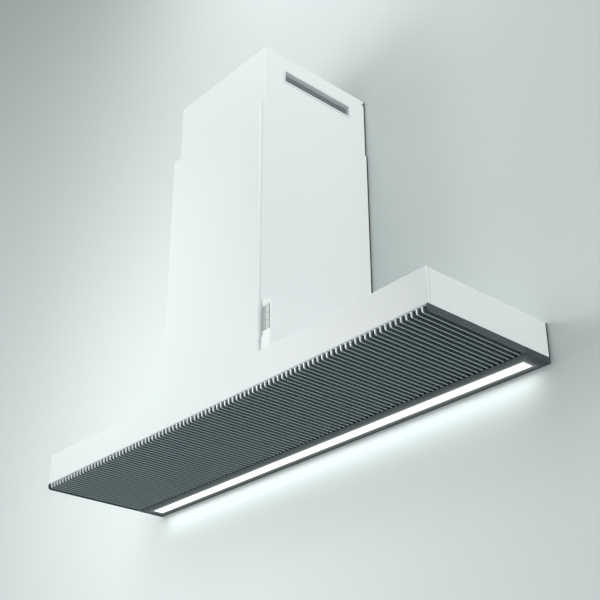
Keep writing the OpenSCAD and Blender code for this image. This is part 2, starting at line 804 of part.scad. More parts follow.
// Three arms that carry the motor across the left inlet
module motor_spider() color("silver") {
    rod_x(-scroll_half - spider_t, spider_t, fan_y, fan_z, spider_hub_r);
    for (a = [30, 150, 270])
        translate([-scroll_half - spider_t, fan_y, fan_z]) rotate([a, 0, 0])
            translate([0, -spider_arm_w / 2, 0]) cube([spider_t, spider_arm_w, spider_reach]);
}

module fan_shaft() color("silver")
    rod_x(motor_start + shaft_start, hub_x + hub_w - motor_start - shaft_start, fan_y, fan_z, shaft_r);

module fan_wheel() color("gray") difference() {
    translate([0, fan_y, fan_z]) rotate([0, 90, 0]) {
        for (x = [-wheel_w / 2, wheel_w / 2 - wheel_plate_t]) translate([0, 0, x]) difference() {
            cylinder(h = wheel_plate_t, r = wheel_r);
            translate([0, 0, -eps]) cylinder(h = wheel_plate_t + 2 * eps, r = wheel_r - blade_d);
        }
        translate([0, 0, hub_x]) cylinder(h = wheel_plate_t, r = wheel_r);
        translate([0, 0, hub_x]) cylinder(h = hub_w, r = hub_r);
        for (i = [0 : blade_count - 1])
            rotate([0, 0, i * 360 / blade_count])
                translate([wheel_r - blade_d + 1, -blade_t / 2, -wheel_w / 2])
                cube([blade_d - 2, blade_t, wheel_w]);
    }
    rod_x(hub_x - eps, hub_w + 2 * eps, fan_y, fan_z, shaft_r);
}

// ---------- outlet ----------

module duct_collar() color("gray") difference() {
    union() {
        rod_z(0, outlet_y, box_top, collar_h, collar_r);
        block([-collar_r - collar_ear, outlet_y - collar_r - collar_lip, box_top],
            [collar_r + collar_ear, outlet_y + collar_r + collar_lip, box_top + collar_t]);
    }
    difference() {
        rod_z(0, outlet_y, box_top - eps, collar_h + 2 * eps, collar_inner_r);
        flap_stop();
    }
    for (side = [-1, 1])
        rod_y(side * flap_x, outlet_y - collar_r - eps, 2 * collar_r + 2 * eps, flap_z, flap_pin_r);
}

// Ledge that the closed flaps rest on, left out at the ends of the pins
module flap_stop() difference() {
    ledge_z = flap_z - flap_t / 2 - ledge_gap - ledge_t;
    rod_z(0, outlet_y, ledge_z, ledge_t, collar_inner_r + eps);
    rod_z(0, outlet_y, ledge_z - eps, ledge_t + 2 * eps, collar_inner_r - ledge_w);
    block([-ledge_break, outlet_y - collar_r, ledge_z - eps],
        [ledge_break, outlet_y + collar_r, ledge_z + ledge_t + eps]);
}

module flap_right() color("lightgray") difference() {
    union() {
        intersection() {
            rod_z(0, outlet_y, flap_z - flap_t / 2, flap_t, flap_r);
            block([flap_x, outlet_y - flap_r, flap_z - flap_t], [flap_r, outlet_y + flap_r, flap_z + flap_t]);
        }
        rod_y(flap_x, outlet_y - flap_r + flap_eye_inset, 2 * (flap_r - flap_eye_inset), flap_z,
            flap_eye_r);
    }
    rod_y(flap_x, outlet_y - flap_r - eps, 2 * flap_r + 2 * eps, flap_z, flap_pin_r + flap_play);
}

module flap_left() color("lightgray") mirror([1, 0, 0]) flap_right();

module flap_pins() color("silver")
    for (side = [-1, 1])
        rod_y(side * flap_x, outlet_y - collar_inner_r - flap_pin_seat,
            2 * (collar_inner_r + flap_pin_seat), flap_z, flap_pin_r);

module cable_gland() color("dimgray") difference() {
    union() {
        rod_z(gland_x, gland_y, box_top, gland_h - gland_foot, gland_r);
        rod_z(gland_x, gland_y, box_top - gland_foot, gland_foot, gland_r - gland_step);
    }
    rod_z(gland_x, gland_y, box_top - gland_foot - eps, gland_h + 2 * eps, inlet_bore_r);
}

// ---------- electronics ----------

module control_box() color("whitesmoke") difference() {
    block([ctrl_x, -sheet_t - ctrl_d, ctrl_z], [ctrl_x + ctrl_w, -sheet_t, ctrl_z + ctrl_h]);
    block([ctrl_x + ctrl_wall, -sheet_t - ctrl_d - eps, ctrl_z + ctrl_wall],
        [ctrl_x + ctrl_w - ctrl_wall, -sheet_t - ctrl_wall, ctrl_z + ctrl_h - ctrl_wall]);
}

module control_cover() color("gainsboro")
    block([ctrl_x, -sheet_t - ctrl_d - ctrl_wall, ctrl_z],
        [ctrl_x + ctrl_w, -sheet_t - ctrl_d, ctrl_z + ctrl_h]);

module control_board() color("green")
    block([ctrl_x + ctrl_wall + board_play, -sheet_t - ctrl_d + board_from_front,
            ctrl_z + ctrl_wall + board_play],
        [ctrl_x + ctrl_w - ctrl_wall - board_play, -sheet_t - ctrl_d + board_from_front + board_t,
            ctrl_z + ctrl_h - ctrl_wall - board_play]);

module capacitor() color("silver")
    rod_x(ctrl_x + cap_from_side, cap_len, -sheet_t - ctrl_wall - cap_from_rear, ctrl_z + ctrl_h / 2,
        cap_r);

// ---------- remote ----------

module handset_holder() color("white") difference() {
    block([chimney_half, hs_front_y - holder_play - holder_wall, hood_h],
        [hs_left + hs_w + holder_play + holder_wall, hs_back_y + holder_play + holder_wall,
            hood_h + holder_h]);
    block([hs_left - holder_play, hs_front_y - holder_play, hs_z],
        [hs_left + hs_w + holder_play, hs_back_y + holder_play, hood_h + holder_h + eps]);
}

// Handset outline in (x, z)
module handset_outline(inset)
    translate([hs_x, hs_z + hs_h / 2])
        round_rect(hs_w - 2 * inset, hs_h - 2 * inset, hs_corner_r - inset);

module handset_front() color("white") difference() {
    along_y(hs_front_y, hs_split_y - hs_seam / 2 - hs_front_y) handset_outline(0);
    along_y(hs_front_y + hs_wall, hs_t) handset_outline(hs_wall);
    block([window_x[0], hs_front_y - eps, window_z[0]], [window_x[1], hs_split_y, window_z[1]]);
}

module handset_back() color("white") difference() {
    along_y(hs_split_y + hs_seam / 2, hs_back_y - hs_split_y - hs_seam / 2) handset_outline(0);
    along_y(hs_split_y - eps, hs_back_y - hs_wall - hs_split_y + eps) handset_outline(hs_wall);
}

// Circuit board with the keypad's guide plate in front of it
module handset_board() color("gray") difference() {
    union() {
        block([hs_left + hs_board_side, hs_board_y, hs_z + hs_board_end],
            [hs_left + hs_w - hs_board_side, hs_board_y + hs_board_t, hs_z + hs_h - hs_board_end]);
        block([window_x[0] + guide_play, hs_front_y + guide_sink, window_z[0] + guide_play],
            [guide_right_x, hs_board_y, window_z[1] - guide_play]);
    }
    for (i = [0 : 5]) key_space(i, key_play, key_room);
}

function key_x(i) = key_xs[i % 2];
function key_z(i) = key_low_z + (2 - floor(i / 2)) * key_pitch;

module key_space(i, play, deep)
    block([key_x(i) - play, hs_front_y - key_proud, key_z(i) - play],
        [key_x(i) + key_ws[i % 2] + play, hs_front_y - key_proud + deep, key_z(i) + key_h + play]);

module key(i) key_space(i, 0, key_t);

module key_1() color("slategray") key(0);
module key_2() color("slategray") key(1);
module key_3() color("slategray") key(2);
module key_4() color("slategray") key(3);
module key_5() color("slategray") key(4);
module key_6() color("slategray") key(5);

// ---------- what is drawn ----------

front_panel();
canopy_side_left();
canopy_side_right();
canopy_top();
back_plate();
panel_screws();
chimney_side_left();
chimney_side_right();
upper_chimney();
vent_grille_left();
vent_grille_right();
ceiling_bracket();
bracket_screws();
light_housing();
led_profile();
led_board();
led_diffuser();
led_end_caps();
led_driver();
grille_fins();
grille_side_left();
grille_side_right();
grille_side_screws();
grille_rails();
grille_hinge_pins();
hinge_brackets();
grille_catches();
filter_frame_left();
filter_frame_middle();
filter_frame_right();
filter_mesh_left();
filter_mesh_middle();
filter_mesh_right();
blower_box();
blower_screws();
scroll_left();
scroll_right();
motor();
motor_spider();
fan_shaft();
fan_wheel();
duct_collar();
flap_left();
flap_right();
flap_pins();
control_box();
control_cover();
control_board();
capacitor();
cable_gland();
handset_holder();
handset_front();
handset_back();
handset_board();
key_1();
key_2();
key_3();
key_4();
key_5();
key_6();
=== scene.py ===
# %% [markdown]
# # A wall-mounted range hood, dressed around its CAD frame
# The CAD model holds every size and every moving part. This script only adds the looks: folded sheet
# edges, rounded fins, woven filters, a moulded remote, and a procedural finish for each material.
# It is written in small cells, so that each step can be read, run and checked by itself.

# %% Load the frame
import json
import math

import bmesh
import bpy
from mathutils import Matrix, Vector


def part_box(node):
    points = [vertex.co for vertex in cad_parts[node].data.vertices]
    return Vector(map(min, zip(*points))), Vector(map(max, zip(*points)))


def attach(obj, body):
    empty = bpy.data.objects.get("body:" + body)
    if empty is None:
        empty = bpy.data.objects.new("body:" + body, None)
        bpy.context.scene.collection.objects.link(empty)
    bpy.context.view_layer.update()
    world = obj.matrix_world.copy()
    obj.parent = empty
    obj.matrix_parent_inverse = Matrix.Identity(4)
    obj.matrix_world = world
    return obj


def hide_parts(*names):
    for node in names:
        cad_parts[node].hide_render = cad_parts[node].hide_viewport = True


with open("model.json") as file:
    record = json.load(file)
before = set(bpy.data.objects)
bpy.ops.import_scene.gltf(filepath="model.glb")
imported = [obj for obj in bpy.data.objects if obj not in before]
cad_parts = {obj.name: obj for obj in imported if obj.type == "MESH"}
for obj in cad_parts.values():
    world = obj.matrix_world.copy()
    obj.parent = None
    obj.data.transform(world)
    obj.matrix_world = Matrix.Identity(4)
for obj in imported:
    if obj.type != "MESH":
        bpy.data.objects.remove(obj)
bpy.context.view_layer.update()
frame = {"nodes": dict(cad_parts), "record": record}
nodes = frame["nodes"]

# %% [markdown]
# ## Camera
# The camera stands low in front of the hood's right half and looks up at it, as a person does who
# stands a little bent beside the cooker. A longish lens keeps the perspective calm. The camera's axes
# are worked out from three angles, because a look-at target would hide the small roll.

# %% Make the camera
LENS_MM = 69.07
CAMERA_PLACE = Vector((1.7094, -1.5933, -0.8852))
CAMERA_YAW = math.radians(48.33)
CAMERA_PITCH = math.radians(28.05)
CAMERA_ROLL = math.radians(-0.26)


def camera_axes(yaw, pitch, roll):
    """Right, up and backward directions of a camera with those angles."""
    level = math.cos(pitch)
    forward = Vector((-math.sin(yaw) * level, math.cos(yaw) * level, math.sin(pitch)))
    right = Vector((math.cos(yaw), math.sin(yaw), 0.0))
    up = right.cross(forward)
    rolled_right = right * math.cos(roll) + up * math.sin(roll)
    rolled_up = up * math.cos(roll) - right * math.sin(roll)
    return rolled_right, rolled_up, -forward


camera_data = bpy.data.cameras.new("camera")
camera_data.lens = LENS_MM
camera_data.sensor_width = 36.0
camera_data.clip_start = 0.05
camera_data.clip_end = 60.0
camera = bpy.data.objects.new("camera", camera_data)
bpy.context.scene.collection.objects.link(camera)
turn = Matrix(camera_axes(CAMERA_YAW, CAMERA_PITCH, CAMERA_ROLL)).transposed()
camera.matrix_world = Matrix.Translation(CAMERA_PLACE) @ turn.to_4x4()
bpy.context.scene.camera = camera
print("camera lens:", LENS_MM, "mm")

# %% [markdown]
# ## Building blocks for meshes
# Sheet metal and moulded parts are mostly one idea: an outline that is carried along a small profile.
# `loft` joins rings of points with faces, `offset_outline` shrinks a right-angled outline, and
# `round_outline` gives a rectangle with round corners. Every piece is made in the frame's own metres.


# %% Mesh helpers
SMALLEST_RADIUS = 1e-5
WELD_DISTANCE = 1e-6
SHARP_DEG = 35.0


def mm(value):
    """Millimetres to metres."""
    return value / 1000.0


def loft(bm, rings, close=True, cap_start=False, cap_end=False):
    """Joins rings of equally many points with quads, and fills the first and last ring if asked."""
    made = [[bm.verts.new(p) for p in ring] for ring in rings]
    count = len(made[0])
    steps = count if close else count - 1
    for a, b in zip(made, made[1:]):
        for i in range(steps):
            j = (i + 1) % count
            bm.faces.new((a[i], a[j], b[j], b[i]))
    if cap_start:
        bm.faces.new(list(reversed(made[0])))
    if cap_end:
        bm.faces.new(made[-1])
    return made


def stand_up(bm, section, low_z, high_z):
    """Stands a closed outline in (x, y) up between two heights."""
    rings = [[Vector((p.x, p.y, z)) for p in section] for z in (low_z, high_z)]
    loft(bm, rings, cap_start=True, cap_end=True)


def offset_outline(points, inward):
    """A right-angled outline, given anticlockwise, moved inward by that much."""
    moved = []
    for i, point in enumerate(points):
        before = (point - points[i - 1]).normalized()
        after = (points[(i + 1) % len(points)] - point).normalized()
        moved.append(point + inward * (Vector((-before.y, before.x)) + Vector((-after.y, after.x))))
    return moved


def arc_points(centre, radius, start, end, steps):
    """Points on an arc round a centre, angles in degrees, both ends included."""
    turns = [math.radians(start + (end - start) * k / steps) for k in range(steps + 1)]
    return [Vector((centre[0] + radius * math.cos(a), centre[1] + radius * math.sin(a))) for a in turns]


def round_outline(width, height, radius, steps=6):
    """Anticlockwise outline of a rectangle round the origin with round corners."""
    radius = max(radius, SMALLEST_RADIUS)
    points = []
    for sx, sy, start in ((1, -1, -90), (1, 1, 0), (-1, 1, 90), (-1, -1, 180)):
        centre = (sx * (width / 2 - radius), sy * (height / 2 - radius))
        points += arc_points(centre, radius, start, start + 90, steps)
    return points


def quarter(radius, steps, outer=True):
    """Points of a quarter round from flat to upright, as (inward, down) pairs."""
    turn_by = [math.radians(90 * k / steps) for k in range(steps + 1)]
    points = [(radius * (1 - math.sin(a)), radius * (1 - math.cos(a))) for a in turn_by]
    return points if outer else list(reversed(points))


def round_block(bm, low, high, radius, segments=2):
    """Adds a block with every edge rounded."""
    low, high = Vector(low), Vector(high)
    made = bmesh.ops.create_cube(bm, size=1.0)["verts"]
    for v in made:
        v.co = Vector(tuple(low[i] + (v.co[i] + 0.5) * (high[i] - low[i]) for i in range(3)))
    edges = list(dict.fromkeys(e for v in made for e in v.link_edges))
    if radius > 0:
        bmesh.ops.bevel(bm, geom=edges, offset=radius, segments=segments, profile=0.5, affect="EDGES")


def soften(mesh, sharp_deg=SHARP_DEG):
    """Shades a mesh smooth, apart from edges sharper than an angle."""
    mesh.shade_smooth()
    mesh.set_sharp_from_angle(angle=math.radians(sharp_deg))


def finished(name, bm, sharp_deg=SHARP_DEG):
    """A new object from a bmesh, with its normals outward and soft edges shaded smooth."""
    bmesh.ops.recalc_face_normals(bm, faces=bm.faces)
    mesh = bpy.data.meshes.new(name)
    bm.to_mesh(mesh)
    bm.free()
    soften(mesh, sharp_deg)
    obj = bpy.data.objects.new(name, mesh)
    bpy.context.scene.collection.objects.link(obj)
    return obj


def even_normals(obj):
    """Weighted normals, so that large flat faces stay flat beside small rounded edges."""
    weighted = obj.modifiers.new("even_normals", "WEIGHTED_NORMAL")
    weighted.keep_sharp = True
    weighted.weight = 100
    return obj


def place(obj, body, material, stands_for=()):
    """Puts a finished piece on its body, with its material, and hides the CAD nodes it stands for."""
    obj.data.materials.clear()
    obj.data.materials.append(material)
    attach(obj, body)
    if stands_for:
        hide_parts(*stands_for)
    print("piece:", obj.name, "faces:", len(obj.data.polygons))
    return obj


def cut_away(obj, cutter):
    """Subtracts the cutter from the piece and removes the cutter."""
    boolean = obj.modifiers.new("cut", "BOOLEAN")
    boolean.operation = "DIFFERENCE"
    boolean.solver = "EXACT"
    boolean.object = cutter
    graph = bpy.context.evaluated_depsgraph_get()
    cut_mesh = bpy.data.meshes.new_from_object(obj.evaluated_get(graph))
    obj.modifiers.clear()
    obj.data = cut_mesh
    bpy.data.objects.remove(cutter)


# %% [markdown]
# ## Shared surface effects
# A finish is a base colour plus what light finds on it: the orange peel of powder coat, the drawn lines
# of anodised aluminium, the crystals of zinc, the fine grain of a mould. Each effect is one node group
# with named inputs, built once. A material then places the group with its own values and feeds it to
# its own shader.


# %% Node helpers
def link(tree, a, b):
    tree.links.new(a, b)


def new_node(tree, kind, **settings):
    node = tree.nodes.new(kind)
    for key, value in settings.items():
        setattr(node, key, value)
    return node


def find_node(tree, kind):
    return next(node for node in tree.nodes if node.type == kind)


def split_place(tree):
    """X, Y and Z of a point in the frame, as separate sockets."""
    parts = new_node(tree, "ShaderNodeSeparateXYZ")
    link(tree, object_place(tree), parts.inputs[0])
    return parts.outputs


def facing_share(tree, direction):
    """How squarely a face looks along a direction, zero when it looks away."""
    facing = new_node(tree, "ShaderNodeVectorMath", operation="DOT_PRODUCT")
    link(tree, new_node(tree, "ShaderNodeNewGeometry").outputs["Normal"], facing.inputs[0])
    facing.inputs[1].default_value = direction
    return math_node(tree, "MAXIMUM", facing.outputs["Value"], 0.0)


def math_node(tree, operation, a, b=None, clamp=False):
    """A math node. Each operand is a number or a socket."""
    node = new_node(tree, "ShaderNodeMath", operation=operation, use_clamp=clamp)
    for socket, value in zip(node.inputs, (a, b)):
        if value is None:
            continue
        if isinstance(value, (int, float)):
            socket.default_value = value
        else:
            link(tree, value, socket)
    return node.outputs[0]


def mix_colour(tree, factor, a, b, blend="MIX"):
    """A colour mix. Factor and colours are values or sockets."""
    node = new_node(tree, "ShaderNodeMix", data_type="RGBA", blend_type=blend)
    for socket, value in ((node.inputs["Factor"], factor), (node.inputs[6], a), (node.inputs[7], b)):
        if hasattr(value, "is_linked"):
            link(tree, value, socket)
        else:
            socket.default_value = value
    return node.outputs[2]


def effect_group(name, inputs, outputs):
    """An empty node group. Inputs are (name, kind, default) and outputs (name, kind)."""
    tree = bpy.data.node_groups.new(name, "ShaderNodeTree")
    for label, kind, default in inputs:
        socket = tree.interface.new_socket(name=label, in_out="INPUT", socket_type="NodeSocket" + kind)
        if default is not None:
            socket.default_value = default
    for label, kind in outputs:
        tree.interface.new_socket(name=label, in_out="OUTPUT", socket_type="NodeSocket" + kind)
    return tree, new_node(tree, "NodeGroupInput").outputs, new_node(tree, "NodeGroupOutput").inputs


def noise_at(tree, vector, scale, detail=2.0, roughness=0.5):
    """Noise value over a vector. Scale is a number or a socket."""
    node = new_node(tree, "ShaderNodeTexNoise")
    link(tree, vector, node.inputs["Vector"])
    node.inputs["Detail"].default_value = detail
    node.inputs["Roughness"].default_value = roughness
    if hasattr(scale, "is_linked"):
        link(tree, scale, node.inputs["Scale"])
    else:
        node.inputs["Scale"].default_value = scale
    return node.outputs["Fac"]


def object_place(tree):
    """Where a point lies in the frame, in metres."""
    return new_node(tree, "ShaderNodeTexCoord").outputs["Object"]


def swing(tree, middle, noise, amount):
    """A value that moves either side of a middle as a noise does."""
    centred = math_node(tree, "SUBTRACT", noise, 0.5)
    return math_node(tree, "ADD", middle, math_node(tree, "MULTIPLY", centred, amount), clamp=True)


# %% What every finish effect gives
FINISH_OUTPUTS = [("Colour", "Color"), ("Roughness", "Float"), ("Height", "Float")]


# %% Powder coat: orange peel, faint cloudiness and fine dust on what faces up
UP, DOWN = (0.0, 0.0, 1.0), (0.0, 0.0, -1.0)


def build_coat_group():
    tree, given, out = effect_group(
        "PowderCoat",
        [("Colour", "Color", (0.8, 0.8, 0.8, 1)), ("Cloud", "Float", 0.03), ("Roughness", "Float", 0.4),
         ("Peel Scale", "Float", 650.0), ("Dust", "Float", 0.1),
         ("Dust Colour", "Color", (0.5, 0.5, 0.48, 1))],
        FINISH_OUTPUTS)
    where = object_place(tree)
    cloud = noise_at(tree, where, 5.0, 3.0, 0.6)
    darker = mix_colour(tree, math_node(tree, "MULTIPLY", cloud, given["Cloud"]), given["Colour"],
                        (0.25, 0.26, 0.27, 1))
    settled = math_node(tree, "MULTIPLY", facing_share(tree, UP), noise_at(tree, where, 42.0, 5.0, 0.7))
    dust = math_node(tree, "MULTIPLY", settled, given["Dust"], clamp=True)
    link(tree, mix_colour(tree, dust, darker, given["Dust Colour"]), out["Colour"])
    rough = swing(tree, given["Roughness"], noise_at(tree, where, 16.0, 4.0, 0.6), 0.10)
    dusty = math_node(tree, "ADD", rough, math_node(tree, "MULTIPLY", dust, 0.4), clamp=True)
    link(tree, dusty, out["Roughness"])
    peel = noise_at(tree, where, given["Peel Scale"], 1.0, 0.4)
    speck = noise_at(tree, where, 2600.0, 1.0, 0.5)
    link(tree, math_node(tree, "ADD", peel, math_node(tree, "MULTIPLY", speck, 0.25)), out["Height"])
    return tree


POWDER_COAT = build_coat_group()


# %% Drawn metal: long fine lines along one direction, as rolling, drawing or brushing leaves them
def build_drawn_group():
    tree, given, out = effect_group(
        "DrawnMetal",
        [("Colour", "Color", (0.6, 0.6, 0.6, 1)), ("Contrast", "Float", 0.15),
         ("Roughness", "Float", 0.3), ("Across", "Vector", (900.0, 8.0, 900.0)), ("Tarnish", "Float", 0.1),
         ("Tarnish Colour", "Color", (0.2, 0.2, 0.2, 1))],
        FINISH_OUTPUTS)
    where = object_place(tree)
    stretched = new_node(tree, "ShaderNodeVectorMath", operation="MULTIPLY")
    link(tree, where, stretched.inputs[0])
    link(tree, given["Across"], stretched.inputs[1])
    lines = noise_at(tree, stretched.outputs[0], 1.0, 4.0, 0.65)
    patches = noise_at(tree, where, 26.0, 4.0, 0.6)
    lined = mix_colour(tree, math_node(tree, "MULTIPLY", lines, given["Contrast"]), given["Colour"],
                       (0.08, 0.085, 0.09, 1))
    tarnish = math_node(tree, "MULTIPLY", patches, given["Tarnish"], clamp=True)
    link(tree, mix_colour(tree, tarnish, lined, given["Tarnish Colour"]), out["Colour"])
    rough = swing(tree, given["Roughness"], lines, 0.22)
    link(tree, swing(tree, rough, patches, 0.10), out["Roughness"])
    link(tree, lines, out["Height"])
    return tree


DRAWN_METAL = build_drawn_group()


# %% Zinc: crystals a few millimetres wide that each reflect a little differently
def build_zinc_group():
    tree, given, out = effect_group(
        "ZincSpangle",
        [("Colour", "Color", (0.6, 0.6, 0.6, 1)), ("Spread", "Float", 0.35), ("Roughness", "Float", 0.4),
         ("Crystal Scale", "Float", 110.0)],
        FINISH_OUTPUTS)
    where = object_place(tree)
    warp = new_node(tree, "ShaderNodeVectorMath", operation="MULTIPLY_ADD")
    jitter = new_node(tree, "ShaderNodeTexNoise")
    link(tree, where, jitter.inputs["Vector"])
    jitter.inputs["Scale"].default_value = 90.0
    link(tree, jitter.outputs["Color"], warp.inputs[0])
    warp.inputs[1].default_value = (0.012, 0.012, 0.012)
    link(tree, where, warp.inputs[2])
    cells = new_node(tree, "ShaderNodeTexVoronoi", feature="F1")
    link(tree, warp.outputs[0], cells.inputs["Vector"])
    link(tree, given["Crystal Scale"], cells.inputs["Scale"])
    shade = new_node(tree, "ShaderNodeSeparateColor")
    link(tree, cells.outputs["Color"], shade.inputs[0])
    link(tree, mix_colour(tree, math_node(tree, "MULTIPLY", shade.outputs[0], given["Spread"]),
                          given["Colour"], (0.30, 0.32, 0.34, 1)), out["Colour"])
    link(tree, swing(tree, given["Roughness"], shade.outputs[1], 0.3), out["Roughness"])
    link(tree, cells.outputs["Distance"], out["Height"])
    return tree


ZINC_SPANGLE = build_zinc_group()


# %% Moulded plastic and rubber: spark-eroded grain and slight colour drift
def build_mould_group():
    tree, given, out = effect_group(
        "MouldGrain",
        [("Colour", "Color", (0.5, 0.5, 0.5, 1)), ("Drift", "Float", 0.06), ("Roughness", "Float", 0.5),
         ("Grain Scale", "Float", 1500.0)],
        FINISH_OUTPUTS)
    where = object_place(tree)
    drift = noise_at(tree, where, 22.0, 3.0, 0.6)
    link(tree, mix_colour(tree, math_node(tree, "MULTIPLY", drift, given["Drift"]), given["Colour"],
                          (0.02, 0.02, 0.02, 1)), out["Colour"])
    grain = noise_at(tree, where, given["Grain Scale"], 3.0, 0.7)
    link(tree, swing(tree, swing(tree, given["Roughness"], grain, 0.12), drift, 0.10), out["Roughness"])
    link(tree, grain, out["Height"])
    return tree


MOULD_GRAIN = build_mould_group()
print("effects:", [g.name for g in bpy.data.node_groups])


# %% [markdown]
# ## Materials
# Each finish is a Principled shader with one effect in front of it. Values that are the same all over,
# such as metalness or coat, are set on the shader's own sockets.


# %% Material maker
BUMP_DISTANCE = mm(0.4)
FINISHES = {}


def bump_shader(tree, shader, height, strength, distance=BUMP_DISTANCE):
    """Feeds a height to a shader as a bump."""
    bumped = new_node(tree, "ShaderNodeBump")
    bumped.inputs["Strength"].default_value = strength
    bumped.inputs["Distance"].default_value = distance
    link(tree, height, bumped.inputs["Height"])
    link(tree, bumped.outputs[0], shader.inputs["Normal"])


def bare_material(name, effect, values):
    """A new material with its tree, its Principled shader and its effect group, noted by name."""
    material = bpy.data.materials.new(name)
    material.use_nodes = True
    tree = material.node_tree
    tree.nodes.clear()
    output = new_node(tree, "ShaderNodeOutputMaterial")
    shader = new_node(tree, "ShaderNodeBsdfPrincipled")
    link(tree, shader.outputs[0], output.inputs["Surface"])
    group = new_node(tree, "ShaderNodeGroup", node_tree=effect)
    for label, value in values.items():
        group.inputs[label].default_value = value
    FINISHES[name] = material
    return material, tree, shader, group


def finish_material(name, effect, values, bump, bump_distance=BUMP_DISTANCE, **shader_values):
    """A material with a Principled shader fed by an effect group's colour, roughness and height."""
    material, tree, shader, group = bare_material(name, effect, values)
    link(tree, group.outputs["Colour"], shader.inputs["Base Color"])
    link(tree, group.outputs["Roughness"], shader.inputs["Roughness"])
    bump_shader(tree, shader, group.outputs["Height"], bump, bump_distance)
    for label, value in shader_values.items():
        shader.inputs[label.replace("_", " ")].default_value = value
    return material


def grey(r, g, b):
    return (r, g, b, 1.0)


def coated(name, colour, cloud, roughness, peel, dust, bump, **more):
    values = {"Colour": grey(*colour), "Cloud": cloud, "Roughness": roughness, "Peel Scale": peel,
              "Dust": dust}
    return finish_material(name, POWDER_COAT, values, bump, **more)


def drawn(name, colour, contrast, roughness, across, tarnish, tarnish_colour, bump, **more):
    values = {"Colour": grey(*colour), "Contrast": contrast, "Roughness": roughness, "Across": across,
              "Tarnish": tarnish, "Tarnish Colour": grey(*tarnish_colour)}
    return finish_material(name, DRAWN_METAL, values, bump, **more)


def spangled(name, colour, spread, roughness, crystals, bump, **more):
    values = {"Colour": grey(*colour), "Spread": spread, "Roughness": roughness,
              "Crystal Scale": crystals}
    return finish_material(name, ZINC_SPANGLE, values, bump, **more)


def moulded(name, colour, drift, roughness, grain, bump, **more):
    values = {"Colour": grey(*colour), "Drift": drift, "Roughness": roughness, "Grain Scale": grain}
    return finish_material(name, MOULD_GRAIN, values, bump, **more)


# %% The hood's finishes
white_paint = coated(
    "white_paint", (0.775, 0.83, 0.825), cloud=0.02, roughness=0.36, peel=520.0, dust=0.10,
    bump=0.06, Coat_Weight=0.15, Coat_Roughness=0.2)
dark_paint = coated(
    "dark_paint", (0.029, 0.049, 0.054), cloud=0.10, roughness=0.40, peel=800.0, dust=0.14,
    bump=0.10)
dark_screw = drawn(
    "dark_screw", (0.20, 0.24, 0.25), contrast=0.25, roughness=0.36, across=(900.0, 900.0, 900.0),
    tarnish=0.30, tarnish_colour=(0.10, 0.12, 0.12), bump=0.05, Metallic=0.9)
fin_metal = drawn(
    "fin_metal", (0.28, 0.35, 0.37), contrast=0.26, roughness=0.44, across=(1400.0, 6.0, 1400.0),
    tarnish=0.15, tarnish_colour=(0.18, 0.21, 0.23), bump=0.05, Metallic=0.55)
galvanised = spangled(
    "galvanised", (0.66, 0.68, 0.69), spread=0.45, roughness=0.42, crystals=120.0, bump=0.04,
    Metallic=1.0)
plated_screw = drawn(
    "plated_screw", (0.66, 0.67, 0.68), contrast=0.20, roughness=0.26, across=(900.0, 900.0, 900.0),
    tarnish=0.25, tarnish_colour=(0.28, 0.27, 0.24), bump=0.05, Metallic=1.0)
pin_steel = drawn(
    "pin_steel", (0.60, 0.60, 0.61), contrast=0.25, roughness=0.22, across=(12.0, 900.0, 900.0),
    tarnish=0.12, tarnish_colour=(0.3, 0.3, 0.3), bump=0.05, Metallic=1.0)
raw_aluminium = drawn(
    "raw_aluminium", (0.78, 0.79, 0.80), contrast=0.18, roughness=0.33, across=(10.0, 900.0, 900.0),
    tarnish=0.10, tarnish_colour=(0.5, 0.5, 0.5), bump=0.05, Metallic=1.0)
filter_alloy = drawn(
    "filter_alloy", (0.72, 0.73, 0.74), contrast=0.25, roughness=0.30, across=(14.0, 700.0, 700.0),
    tarnish=0.12, tarnish_colour=(0.42, 0.40, 0.36), bump=0.06, Metallic=1.0)
filter_weave = drawn(
    "filter_weave", (0.60, 0.61, 0.62), contrast=0.35, roughness=0.38, across=(600.0, 600.0, 600.0),
    tarnish=0.30, tarnish_colour=(0.36, 0.33, 0.27), bump=0.08, Metallic=1.0)
cap_plastic = moulded(
    "cap_plastic", (0.10, 0.11, 0.115), drift=0.10, roughness=0.5, grain=1600.0, bump=0.12)
vent_plastic = moulded(
    "vent_plastic", (0.79, 0.84, 0.835), drift=0.03, roughness=0.45, grain=1600.0, bump=0.10)
# The slats' dark grey is painted shade, standing in for the shade inside the vent's recess.
slat_plastic = moulded(
    "slat_plastic", (0.25, 0.305, 0.305), drift=0.15, roughness=0.5, grain=1600.0, bump=0.10)
# This grey paints the shadow line round the foot of each vent rim.
shadow_line_grey = moulded(
    "shadow_line_grey", (0.40, 0.44, 0.44), drift=0.10, roughness=0.8, grain=1400.0, bump=0.2)
case_plastic = moulded(
    "case_plastic", (0.66, 0.67, 0.68), drift=0.06, roughness=0.5, grain=1200.0, bump=0.12)
motor_black = coated(
    "motor_black", (0.035, 0.036, 0.04), cloud=0.1, roughness=0.45, peel=900.0, dust=0.25,
    bump=0.12)
wheel_plastic = moulded(
    "wheel_plastic", (0.14, 0.145, 0.15), drift=0.12, roughness=0.48, grain=1300.0, bump=0.12)
collar_plastic = moulded(
    "collar_plastic", (0.07, 0.07, 0.075), drift=0.12, roughness=0.5, grain=1300.0, bump=0.14)
flap_plastic = moulded(
    "flap_plastic", (0.38, 0.39, 0.40), drift=0.08, roughness=0.48, grain=1300.0, bump=0.12)
rubber_black = moulded(
    "rubber_black", (0.025, 0.025, 0.025), drift=0.2, roughness=0.75, grain=1800.0, bump=0.2)
remote_white = moulded(
    "remote_white", (0.83, 0.895, 0.885), drift=0.02, roughness=0.22, grain=900.0, bump=0.02,
    Coat_Weight=0.5, Coat_Roughness=0.08)
key_rubber = moulded(
    "key_rubber", (0.45, 0.49, 0.49), drift=0.10, roughness=0.55, grain=1800.0, bump=0.12)
